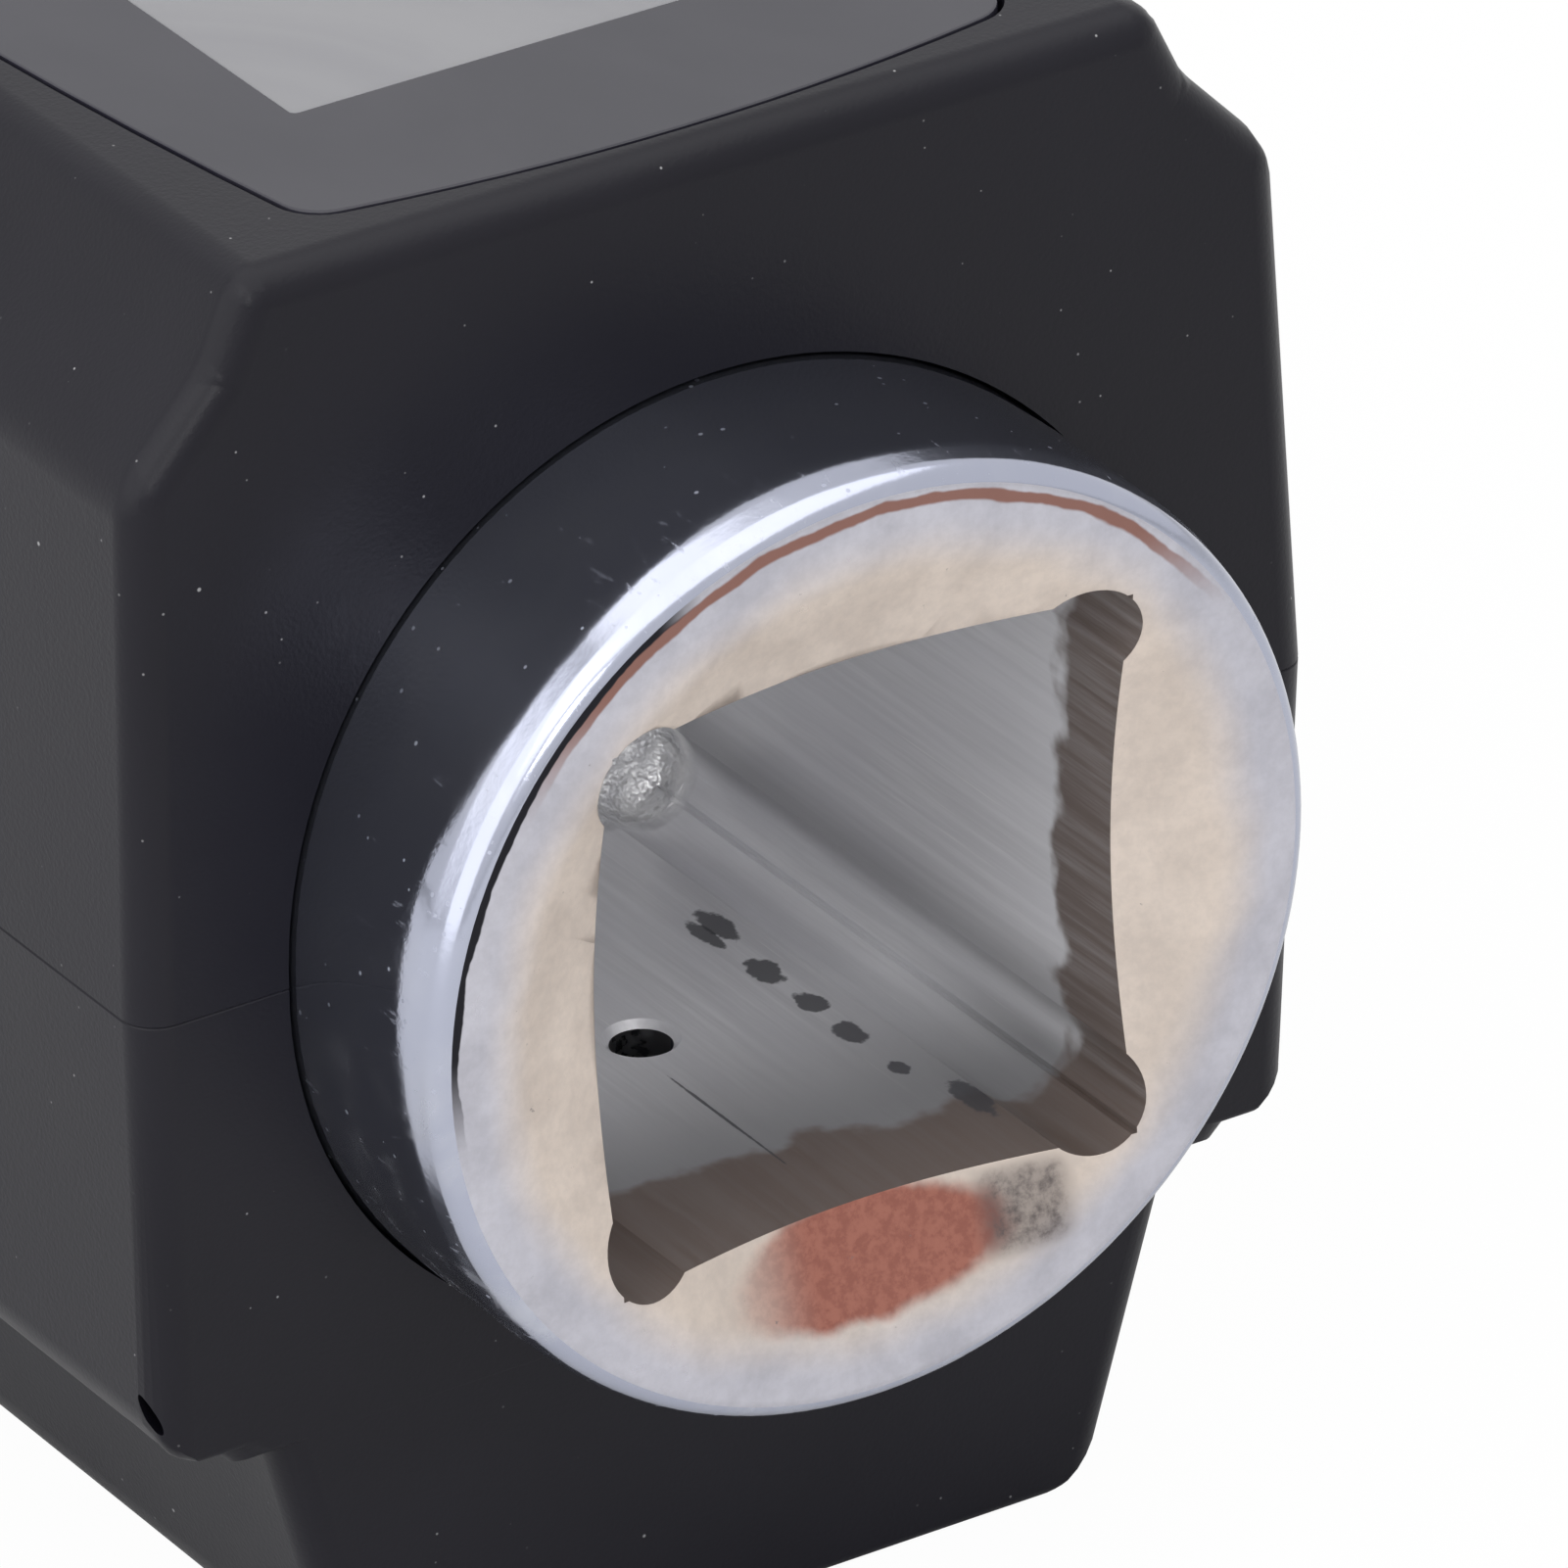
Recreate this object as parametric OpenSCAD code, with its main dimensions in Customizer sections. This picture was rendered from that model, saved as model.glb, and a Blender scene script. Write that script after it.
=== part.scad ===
// Digital torque adapter: a square drive body in a battery powered housing
// that measures the torque passing through it and shows it on a display.
// The origin is the centre of the female end face. +Y runs along the drive
// axis from the female square to the male square, +Z is up to the display.

/* [Drive body] */
// Across flats of the female square
socket_af = 19.3; // [18.9:0.1:19.7]
// Depth of the female square
socket_depth = 28.8; // [26:0.2:31]
// Steel behind the blind end of the female square
socket_floor = 5.2; // [4:0.1:7]
// Radius of the round reliefs in the corners of the square
relief_r = 1.85; // [1.5:0.05:1.9]
// Width of the flat ring outside the shallow lead-in cone
ring_w = 3.1; // [2.3:0.1:4]
// Slope of the lead-in cone from the face, in degrees
lead_in_angle = 20; // [12:1:28]
// Radius of the female head
head_r = 16.5; // [16:0.1:17.5]
// Rounding of the head's outer rim
head_edge_r = 1.2; // [0.6:0.1:1.8]
// Reach of the head in front of the housing
head_reach = 8.2; // [6:0.1:11]
// How much narrower the head is inside the housing
neck_step = 1.1; // [0.7:0.1:1.4]
// How much narrower the gauged shank is than the neck
shank_step = 4.4; // [3.8:0.1:5.4]
// Depth of the gauge flats in the shank
gauge_flat_depth = 1.2; // [0.6:0.1:1.8]
// How much narrower the rear flange is than the head
flange_step = 2; // [1.3:0.1:2.7]
// Reach of the rear flange behind the housing
flange_reach = 2.3; // [1.5:0.1:4]
// Length of the rear flange inside the housing
flange_seat = 12.2; // [11:0.1:14]
// Depth of the flange's locking flats
flange_flat_depth = 1.2; // [0.9:0.1:1.7]
// Across flats of the male square
square_af = 19; // [18.6:0.1:19.2]
// Length of the male square
square_l = 22.5; // [19:0.1:26]
// Turned radius over the corners of the male square
square_corner_r = 12.6; // [12.1:0.1:13]
// Chamfer at the end of the male square
square_chamfer = 1.4; // [0.8:0.1:2]
// Radius of the pin hole in the wall of the female square
pin_hole_r = 1.05; // [0.8:0.05:1.5]
// Distance of the pin hole from the female face
pin_hole_y = 14.2; // [12:0.1:18]

/* [Detent] */
// Radius of the detent ball
ball_r = 2.5; // [2.2:0.1:2.8]
// Reach of the ball out of the square's face
ball_reach = 1.1; // [0.9:0.05:1.3]
// Distance of the ball from the end of the male square
ball_from_end = 10.8; // [8:0.1:13]
// Depth of the ball's hole below the square's face
ball_hole_depth = 9; // [8:0.1:11]
// Thickness of the rim that keeps the ball in
ball_lip = 0.5; // [0.4:0.05:0.6]
// Outer radius of the detent spring
ball_spring_r = 2.25; // [2:0.05:2.4]
// Wire of the detent spring
ball_spring_wire = 0.55; // [0.4:0.05:0.7]

/* [Housing] */
// Room from the head to the housing's side at the seam
side_room = 5.5; // [5:0.1:8]
// Inward taper of the sides up to the shoulder
side_taper = 0.65; // [0.2:0.05:1.5]
// Height of the sloping shoulder
shoulder_h = 6.2; // [5.5:0.1:7.5]
// Margin of the top face beside the display panel
panel_margin = 1.15; // [0.9:0.05:2]
// Room below the head inside the full width block
block_room = 1; // [0.8:0.1:2]
// Step from the block down to the shelf beside the battery hump
shelf_step = 0.5; // [0.2:0.05:0.8]
// Widening of the battery hump from its foot to its root
hump_flare = 3.1; // [2:0.1:3.6]
// Wall of the battery hump beside the door opening
hump_wall = 2.1; // [1.9:0.1:2.6]
// Wall of the shells
wall = 2; // [1.6:0.1:2.2]
// End walls of the shells
end_wall = 2.4; // [2:0.1:3]
// Roof under the display panel
roof_t = 1.25; // [1:0.05:1.8]
// Slope of the end faces, in degrees
end_draft = 2; // [0:0.5:3]
// Rounding of the housing's upright corners
corner_r = 2.2; // [1:0.1:3]
// Rounding of the top and bottom edges at the ends
edge_r = 1.3; // [0.6:0.1:2]
// Thickness of the ribs that hold the drive body
rib_t = 2; // [1.5:0.1:2.4]
// Clearance round the head and the flange in the end walls
head_gap = 0.24; // [0.15:0.01:0.4]
// Clearance round the drive body inside the housing
neck_gap = 0.25; // [0.15:0.01:0.35]

/* [Display] */
// Half the panel's width at its middle
panel_half_w = 15.7; // [15:0.1:16.5]
// How far the panel's long sides bow out
panel_bow_x = 2.7; // [1:0.1:3]
// How far the panel's ends bow out
panel_bow_y = 1.3; // [0.5:0.1:2]
// Distance of the panel from the ends of the housing
panel_end_gap = 2.4; // [1.8:0.1:4]
// Corner radius of the panel
panel_corner_r = 1.6; // [0.8:0.1:2.4]
// Thickness of the panel
panel_t = 1.2; // [0.9:0.05:1.6]
// Thickness of the adhesive under the panel
glue_t = 0.15; // [0.1:0.01:0.25]
// Gap round the panel
panel_gap = 0.18; // [0.1:0.01:0.3]
// Width of the display window
window_w = 19.2; // [17:0.1:20]
// Length of the display window
window_l = 30; // [27:0.5:31]
// Distance of the window from the panel's front end
window_inset = 7.6; // [6.5:0.1:8.5]
// How far the display glass reaches past the window at its ends
glass_lap_y = 1.7; // [1.4:0.1:2.2]
// How far the display glass reaches past the window at its sides
glass_lap_x = 1.9; // [1.4:0.1:2.2]
// Thickness of the display glass
glass_t = 2; // [1.6:0.1:2.4]
// Thickness of the backlight
backlight_t = 1.6; // [1.2:0.1:2.2]
// Wall of the display frame
frame_wall = 1.1; // [0.8:0.1:1.3]

/* [Buttons] */
// Length of a button across the housing
button_w = 8.4; // [7:0.1:9]
// Length of a button along the housing
button_l = 6.4; // [5:0.1:6.8]
// Corner radius of a button
button_r = 1.8; // [0.8:0.1:2.2]
// Reach of a button above the panel
button_reach = 0.7; // [0.5:0.05:1.2]
// Distance between buttons across the housing
button_pitch_x = 12.4; // [12:0.1:13]
// Distance between buttons along the housing
button_pitch_y = 10; // [9.4:0.1:10.4]
// Least distance of the last buttons from the panel's rear end
button_inset = 9.6; // [7:0.1:12]
// Room for the status light between the display and the buttons
light_room = 3.2; // [3:0.1:5]
// Clearance round a button
button_gap = 0.25; // [0.2:0.01:0.35]
// Travel of a button
button_travel = 0.3; // [0.2:0.05:0.4]
// Flange of a button under the roof
button_flange = 0.7; // [0.5:0.05:0.8]
// Thickness of that flange
button_flange_t = 1; // [0.7:0.05:1.2]
// Side of a switch
switch_side = 6; // [5:0.1:6.4]
// Radius of a switch plunger
plunger_r = 1.6; // [1.2:0.1:1.9]

/* [Electronics] */
// Gap between the head and the main board
board_gap = 0.5; // [0.3:0.05:1]
// Thickness of the main board
board_t = 1; // [0.8:0.1:1.6]
// Distance of the board from the rear end wall
board_end_gap = 4.6; // [4:0.1:6]
// Radius of the board posts
board_post_r = 2.1; // [1.9:0.05:2.2]
// Inset of the board screws from the board's sides
board_screw_inset = 2.3; // [2.2:0.1:2.5]
// Radius of a board screw
board_screw_r = 0.9; // [0.7:0.05:1]
// Radius of the buzzer
buzzer_r = 4.5; // [4:0.1:5]
// Height of the buzzer
buzzer_h = 2.8; // [2.4:0.1:3]
// Bare shank at each end of the gauge cover
gauge_cover_room = 4.8; // [4:0.1:6]
// Wall of the gauge cover
gauge_cover_t = 1.4; // [1:0.1:1.7]

/* [Battery compartment] */
// Radius of a cell
cell_r = 5.25; // [5.1:0.05:5.3]
// Length of a cell with its button
cell_l = 44.5; // [43.5:0.5:45.5]
// Distance of each cell from the middle
cell_x = 6.6; // [6.3:0.1:7.2]
// Clearance round a cell
cell_gap = 0.25; // [0.15:0.05:0.4]
// Wall between the cells and the drive body
cell_roof = 1.05; // [0.8:0.05:1.5]
// Compressed length of a cell spring
cell_spring_l = 4.7; // [4:0.1:6]
// Thickness of the contact plates
plate_t = 0.4; // [0.3:0.05:0.6]
// Least room in the housing in front of and behind the compartment
comp_room = 11; // [10:0.1:13]
// Thickness of the battery door
door_t = 1.6; // [1.4:0.1:1.9]
// Depth of the door's rails
door_rail = 0.5; // [0.3:0.05:0.7]
// Clearance of the door
door_gap = 0.15; // [0.1:0.01:0.25]
// Overlap of the door in front of the compartment
door_lap = 1.5; // [1:0.1:3]

/* [Housing screws] */
// Radius of a housing screw
screw_r = 1.15; // [1:0.05:1.25]
// Radius of its head
screw_head_r = 1.75; // [1.6:0.05:1.8]
// Height of its head
screw_head_h = 1.6; // [1.2:0.1:2]
// Length of the screw under its head
screw_l = 14; // [12:0.5:18]
// Radius of the counterbore
bore_r = 1.95; // [1.85:0.05:2.05]
// Distance of the screws from the housing's sides
screw_inset_x = 2.9; // [2.8:0.05:3]
// Distance of the screws from the housing's ends
screw_inset_y = 3.1; // [3:0.05:3.4]
// Depth of the counterbore's seat below the seam
screw_seat = 9; // [8:0.1:11]
// Radius of the screw posts
screw_post_r = 2.8; // [2.7:0.05:2.9]

/* [Hidden] */
$fn = 64;
// Clearance of parts that sit in each other without moving
fit_gap = 0.1;
// Clearance round a screw or a soldered pin
pin_gap = 0.05;
// Clearance of the detent ball in its hole
ball_gap = 0.05;
// How far a cut runs past a face
overrun = 1;
// Points along each rounded corner and each bowed edge
arc_steps = 4;
bow_steps = 8;

// Radii of the drive body, from the head inwards
lead_in_r = head_r - ring_w;
neck_r = head_r - neck_step;
shank_r = neck_r - shank_step;
flange_r = head_r - flange_step;
flange_flat = flange_r - flange_flat_depth;
gauge_flat = shank_r - gauge_flat_depth;

// Heights above the drive axis, built up from the head to the panel
board_z = head_r + board_gap;
board_top = board_z + board_t;
glass_z = board_top + backlight_t;
lcd_gap = 0.2;
roof_z = glass_z + glass_t + lcd_gap;
recess_z = roof_z + roof_t;
panel_z = recess_z + glue_t;
top_h = panel_z + panel_t;

// Battery compartment, from the front of the housing
front_y = head_reach;
comp_front = front_y + comp_room;
comp_l = cell_l + cell_spring_l + 2 * plate_t;
comp_rear = comp_front + comp_l;

// Display, status light and buttons, from the front of the panel
window_front = front_y + panel_end_gap + window_inset;
window_mid = window_front + window_l / 2;
window_rim = 1.2;
glass_l = window_l + 2 * glass_lap_y;
glass_w = window_w + 2 * glass_lap_x;
frame_half_w = glass_w / 2 + fit_gap + frame_wall;
frame_half_l = glass_l / 2 + fit_gap + frame_wall;
board_screw_x = frame_half_w + fit_gap + board_post_r;
board_half_w = board_screw_x + board_screw_inset;
board_side_room = 1.6;
flange_start = window_mid + frame_half_l + light_room;
button_front = flange_start + button_flange + button_l / 2;
button_rear = button_front + button_pitch_y;
button_places = [
  for (y = [button_front, button_rear])
    for (side = [-1, 1])
      [side * button_pitch_x / 2, y]
];

// The housing is long enough for the cells and for the panel
rear_y = max(comp_rear + comp_room, button_rear + button_inset + panel_end_gap);
mid_y = (front_y + rear_y) / 2;
housing_l = rear_y - front_y;
panel_half_l = housing_l / 2 - panel_end_gap;

// Drive body, from the female face
step_room = 1.4;
step_y = front_y + end_wall + step_room;
neck_end = socket_depth + socket_floor;
shank_front = neck_end + shank_step;
flange_front = rear_y - flange_seat;
flange_end = rear_y + flange_reach;
square_end = flange_end + square_l;
gauge_y = (shank_front + flange_front) / 2;

// Half outline of the housing seen along the drive axis
half_w = max(head_r + side_room, board_half_w + board_side_room + wall);
shoulder_x = half_w - side_taper;
shoulder_z = top_h - shoulder_h;
top_x = panel_half_w + panel_margin;
waist_shares = [0.3, 0.47];
waist_x = top_x + (shoulder_x - top_x) * waist_shares.x;
waist_z = top_h - shoulder_h * waist_shares.y;
shoulder_r = 3;
waist_r = 4;
top_r = 1.2;
block_h = neck_r + block_room;
block_taper = 0.5;
block_r = 2.3;
shelf_z = block_h + shelf_step;
cell_reach = neck_r + neck_gap + cell_roof + cell_gap + cell_r;
cell_z = sqrt(cell_reach * cell_reach - cell_x * cell_x);
door_z = cell_z + cell_r + cell_gap;
base_h = door_z + door_t;
door_half = cell_x + cell_r + door_gap;
hump_foot = door_half + hump_wall;
hump_root = hump_foot + hump_flare;
hump_r = 3.5;
hump_root_r = 0.9;
shelf_edge_r = 0.4;
shelf_edge = block_r + shelf_step;

// Buttons, their switches and the status light
button_flange_top = roof_z - lcd_gap - pin_gap;
button_base = button_flange_top - button_flange_t;
switch_room = 0.4;
switch_h = button_base - board_top - button_travel - switch_room;
plunger_in = 0.7;
lens_r = 1;
lens_rim = 0.4;
lens_rim_t = 0.8;
lens_y = flange_start - light_room / 2;
led_h = 0.9;
led_side = 2;

// Board and its posts
board_front = window_mid - frame_half_l - fit_gap;
board_rear = rear_y - end_wall - board_end_gap;
board_screw_ys = [board_front + board_screw_inset + lcd_gap, board_rear - board_screw_inset];
board_screw_l = 3.6;
board_screw_head_r = 1.7;
board_screw_head_h = 1.1;
post_sink = 0.4;

// Screws, ribs and locking keys
screw_x = half_w - screw_inset_x;
screw_ys = [front_y + screw_inset_y, rear_y - screw_inset_y];
screw_post_h = 9;
key_y = flange_front + rib_t;
key_l = 4;
key_h = 6;
rib_top = board_z - neck_gap;
pocket_floor = 1.4;

// Battery parts
plate_w = 9;
plate_h = 8.6;
tab_w = 1.6;
tab_top = 1;
tab_x = cell_x + plate_w / 2 - tab_w / 2;
block_floor_t = 1.8;
cavity_floor = block_h - block_floor_t;
spring_root_r = 3.2;
spring_tip_r = 2.4;
spring_wire = 0.6;
cell_nub_r = 1.9;
cell_nub_l = 0.8;
lead_r = 0.6;
lead_x = neck_r + neck_gap + lead_r + fit_gap;
lead_back = 5;
lead_y = comp_front + lead_back;
lead_up = 2;
lead_gap = 0.4;

// Detent
ball_z = square_af / 2 + ball_reach - ball_r;
ball_y = square_end - ball_from_end;
lip_height = square_af / 2 - ball_lip - ball_z;
ball_mouth_r = sqrt(ball_r * ball_r - lip_height * lip_height) + ball_gap;

// Drive body's small forms
flange_chamfer = 0.8;
relief_bulge = 0.45;

// Display strips, and what hangs under the board where the shank leaves room
strip_l = 1.8;
strip_gap = 0.3;
controller_side = 9;
converter_side = 5;
chip_t = 1.2;
chip_x = 10.5;
part_w = 1.6;
part_l = 0.9;
part_t = 0.7;
part_pitch = 2.4;
part_x = 4.4;
buzzer_hole_r = 0.9;
buzzer_y = flange_front - neck_gap - rib_t - lcd_gap - buzzer_r;

// Battery door
door_front = comp_front - door_lap;
rail_h = 0.7;
grip_l = 0.9;
grip_w = 15;
grip_depth = 0.5;

// Gauges and their wiring
gauge_cover_l = flange_front - shank_front - 2 * gauge_cover_room;
gauge_share = 0.45;
gauge_l = gauge_cover_l * gauge_share;
gauge_w = 7;
gauge_t = 0.2;
cover_gap = 0.1;
cover_r = shank_r + cover_gap + gauge_cover_t;
plug_w = 6.5;
plug_l = 4;
plug_h = 2.2;
harness_wires = 4;
harness_pitch = 1.3;
harness_wire_r = 0.4;

// Points and outlines

function unit(v) = v / norm(v);

// Normal to the left of the way from a to b
function left_of(a, b) = let (d = unit(b - a)) [-d.y, d.x];

// A closed outline moved inwards by d, for points listed anticlockwise
function inset(points, d) = [
  for (i = [0:len(points) - 1])
    let (
      n = len(points),
      before = left_of(points[(i + n - 1) % n], points[i]),
      after = left_of(points[i], points[(i + 1) % n])
    )
    points[i] + d * (before + after) / (1 + before * after)
];

// The arc that rounds the corner b between a and c
function corner_arc(a, b, c, r) =
  let (
    u = unit(a - b),
    v = unit(c - b),
    half = acos(u * v) / 2,
    centre = b + unit(u + v) * r / sin(half),
    first = b + u * r / tan(half) - centre,
    last = b + v * r / tan(half) - centre,
    turn = atan2(first.x * last.y - first.y * last.x, first * last)
  )
  [
    for (i = [0:arc_steps])
      let (angle = atan2(first.y, first.x) + turn * i / arc_steps)
      centre + r * [cos(angle), sin(angle)]
  ];

// A closed outline with each corner rounded by its own radius
function rounded(points, radii) = [
  for (i = [0:len(points) - 1])
    let (
      n = len(points),
      arc = radii[i] > 0
        ? corner_arc(points[(i + n - 1) % n], points[i], points[(i + 1) % n], radii[i])
        : [points[i]]
    )
    each arc
];

function mirrored(points) = concat(points, [
  for (i = [len(points) - 1:-1:0]) [-points[i].x, points[i].y]
]);

function turned_round(values) = concat(values, [
  for (i = [len(values) - 1:-1:0]) values[i]
]);

function rectangle(w, l) = [[w / 2, -l / 2], [w / 2, l / 2], [-w / 2, l / 2], [-w / 2, -l / 2]];

function rounded_rectangle(w, l, r) = rounded(rectangle(w, l), [r, r, r, r]);

// A rectangle whose sides bow outwards, with rounded corners
function bowed(half_x, half_y, bow_x, bow_y, r) =
  let (
    cx = half_x - bow_x,
    cy = half_y - bow_y,
    side = [for (i = [0:bow_steps - 1]) let (t = 2 * i / bow_steps - 1) [cx + bow_x * (1 - t * t), cy * t]],
    end = [for (i = [0:bow_steps - 1]) let (t = 2 * i / bow_steps - 1) [-cx * t, cy + bow_y * (1 - t * t)]],
    points = concat(side, end, -1 * side, -1 * end)
  )
  rounded(points, [for (i = [0:len(points) - 1]) i % bow_steps == 0 ? r : 0]);

// Bodies drawn along each axis

module along_y(from, to) {
  translate([0, to, 0]) rotate([90, 0, 0]) linear_extrude(height = to - from) children();
}

module along_x(reach) {
  rotate([90, 0, 90]) translate([0, 0, -reach]) linear_extrude(height = 2 * reach) children();
}

module along_z(from, to) {
  translate([0, 0, from]) linear_extrude(height = to - from) children();
}

module rod_y(from, to, r) {
  translate([0, from, 0]) rotate([-90, 0, 0]) cylinder(h = to - from, r = r);
}

module box(x0, x1, y0, y1, z0, z1) {
  translate([x0, y0, z0]) cube([x1 - x0, y1 - y0, z1 - z0]);
}

// A round wire through a list of points
module wire(points, r) {
  for (i = [0:len(points) - 2]) {
    way = points[i + 1] - points[i];
    translate(points[i])
      rotate([0, acos(way.z / norm(way)), atan2(way.y, way.x)])
        cylinder(h = norm(way), r = r);
  }
  for (i = [1:len(points) - 2]) translate(points[i]) sphere(r = r);
}

// Outlines of the housing

upper_half = [
  [half_w, 0],
  [shoulder_x, shoulder_z],
  [waist_x, waist_z],
  [top_x, top_h]
];
upper_radii = [0, shoulder_r, waist_r, top_r];

lower_half = [
  [hump_foot, -base_h],
  [hump_root, -shelf_z],
  [half_w - block_taper - shelf_edge, -shelf_z],
  [half_w - block_taper - shelf_edge + shelf_step, -block_h],
  [half_w - block_taper, -block_h],
  [half_w, 0]
];
lower_radii = [hump_r, hump_root_r, shelf_edge_r, 0, block_r, 0];

module end_profile(height, draft_sign) {
  slope = height * tan(end_draft);
  polygon(rounded(
    [
      [front_y, 0],
      [rear_y, 0],
      [rear_y - slope, draft_sign * height],
      [front_y + slope, draft_sign * height]
    ],
    [0, 0, edge_r, edge_r]
  ));
}

module plan_profile() {
  translate([0, mid_y]) polygon(rounded_rectangle(2 * half_w, housing_l, corner_r));
}

panel_outline = bowed(panel_half_w, panel_half_l, panel_bow_x, panel_bow_y, panel_corner_r);
button_outline = rounded_rectangle(button_w, button_l, button_r);

module upper_body() {
  intersection() {
    along_y(front_y, rear_y) polygon(rounded(mirrored(upper_half), turned_round(upper_radii)));
    along_x(half_w) end_profile(top_h, 1);
    along_z(0, top_h) plan_profile();
  }
}

module lower_body() {
  intersection() {
    along_y(front_y, rear_y) polygon(rounded(mirrored(lower_half), turned_round(lower_radii)));
    along_x(half_w) end_profile(base_h, -1);
    along_z(-base_h, 0) plan_profile();
  }
}

// Room for the drive body, shared by both shells
module drive_room() {
  rod_y(front_y - overrun, step_y, head_r + head_gap);
  rod_y(step_y - overrun, flange_front - rib_t - neck_gap, neck_r + neck_gap);
  rod_y(front_y, rear_y, shank_r + neck_gap);
  rod_y(flange_front - neck_gap, rear_y + overrun, flange_r + head_gap);
}

// Everything that the drive body's ribs and keys fill, above or below the seam
module rib_webs(z0, z1) {
  inner = half_w - wall;
  box(-inner, inner, step_y + neck_gap, step_y + neck_gap + rib_t, z0, z1);
  box(-inner, inner, flange_front - neck_gap - rib_t, flange_front - neck_gap, z0, z1);
}

// Keys that hold the flange's flats; each runs into the side wall
module locking_keys(z0, z1) {
  for (side = [0, 1])
    mirror([side, 0, 0])
      box(flange_flat + fit_gap, half_w - wall / 2, key_y + fit_gap, key_y + key_l - fit_gap, z0, z1);
}

module at_screws() {
  for (y = screw_ys)
    for (side = [-1, 1])
      translate([side * screw_x, y, 0]) children();
}

module at_board_screws() {
  for (y = board_screw_ys)
    for (side = [-1, 1])
      translate([side * board_screw_x, y, 0]) children();
}

// Drive body

module socket_hole() {
  relief = socket_af / 2 + relief_bulge - relief_r;
  along_y(-overrun, socket_depth) {
    square([socket_af, socket_af], center = true);
    for (x = [-relief, relief])
      for (z = [-relief, relief])
        translate([x, z]) circle(r = relief_r);
  }
  // Shallow cone that leads the wrench's square in
  lead_depth = lead_in_r * tan(lead_in_angle);
  rotate([-90, 0, 0]) cylinder(h = lead_depth, r1 = lead_in_r, r2 = 0);
  // Pin hole through the lower wall
  translate([0, pin_hole_y, -head_r - overrun]) cylinder(h = head_r + overrun, r = pin_hole_r);
}

module torque_body() {
  rim = corner_arc([0, 0], [head_r, 0], [head_r, step_y], head_edge_r);
  color("silver") difference() {
    union() {
      rotate([-90, 0, 0]) rotate_extrude() polygon(concat(
        [[0, 0]],
        rim,
        [
          [head_r, step_y],
          [neck_r, step_y],
          [neck_r, neck_end],
          [shank_r, shank_front],
          [shank_r, flange_front],
          [flange_r, flange_front],
          [flange_r, flange_end - flange_chamfer],
          [flange_r - flange_chamfer, flange_end],
          [0, flange_end]
        ]
      ));
      intersection() {
        along_y(flange_end - overrun, square_end) square([square_af, square_af], center = true);
        rotate([-90, 0, 0]) rotate_extrude() polygon([
          [0, flange_end - overrun],
          [square_corner_r, flange_end - overrun],
          [square_corner_r, square_end - square_chamfer],
          [square_corner_r - square_chamfer, square_end],
          [0, square_end]
        ]);
      }
    }
    socket_hole();
    // Four flats that carry the gauges
    for (turn = [0:90:270])
      rotate([0, turn, 0])
        box(-shank_r, shank_r, gauge_y - gauge_l, gauge_y + gauge_l, gauge_flat, head_r);
    // Locking flats on the flange
    for (side = [0, 1])
      mirror([side, 0, 0])
        box(flange_flat, head_r, key_y, key_y + key_l, -flange_r, flange_r);
    // Hole of the detent ball, with a lip that keeps it in
    translate([0, square_end - ball_from_end, square_af / 2 - ball_hole_depth])
      cylinder(h = ball_hole_depth - ball_lip, r = ball_r + ball_gap);
    translate([0, square_end - ball_from_end, square_af / 2 - ball_hole_depth])
      cylinder(h = ball_hole_depth + overrun, r = ball_mouth_r);
  }
}

// Detent

module detent_ball() {
  color("gainsboro") translate([0, ball_y, ball_z]) sphere(r = ball_r);
}

module detent_spring() {
  inner = ball_spring_r - ball_spring_wire;
  low = square_af / 2 - ball_hole_depth;
  high = ball_z - sqrt(ball_r * ball_r - inner * inner) - pin_gap;
  color("dimgray") translate([0, ball_y, low]) difference() {
    cylinder(h = high - low, r = ball_spring_r);
    translate([0, 0, -overrun]) cylinder(h = high - low + 2 * overrun, r = inner);
  }
}

// Gauges

module strain_gauges() {
  color("goldenrod") for (turn = [0:90:270])
    rotate([0, turn, 0])
      box(-gauge_w / 2, gauge_w / 2, gauge_y - gauge_l / 2, gauge_y + gauge_l / 2,
        gauge_flat, gauge_flat + gauge_t);
}

module gauge_cover() {
  color("black") difference() {
    rod_y(gauge_y - gauge_cover_l / 2, gauge_y + gauge_cover_l / 2, cover_r);
    rod_y(gauge_y - gauge_cover_l / 2 - overrun, gauge_y + gauge_cover_l / 2 + overrun,
      shank_r + cover_gap);
    // Slot that lets the gauge wires out
    slot = harness_wires * harness_pitch / 2 + fit_gap;
    box(-slot, slot, gauge_y - harness_pitch, gauge_y + harness_pitch, 0, cover_r + overrun);
  }
}

module gauge_harness() {
  color("firebrick") for (i = [0:harness_wires - 1])
    translate([(i - (harness_wires - 1) / 2) * harness_pitch, gauge_y, gauge_flat + gauge_t])
      cylinder(h = board_z - plug_h - gauge_flat - gauge_t, r = harness_wire_r);
}

module gauge_plug() {
  color("ivory") box(-plug_w / 2, plug_w / 2, gauge_y - plug_l / 2, gauge_y + plug_l / 2,
    board_z - plug_h, board_z);
}

// Housing

module upper_shell() {
  color([0.13, 0.13, 0.15]) union() {
    upper_casing();
    locking_keys(0, key_h);
  }
}

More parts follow.
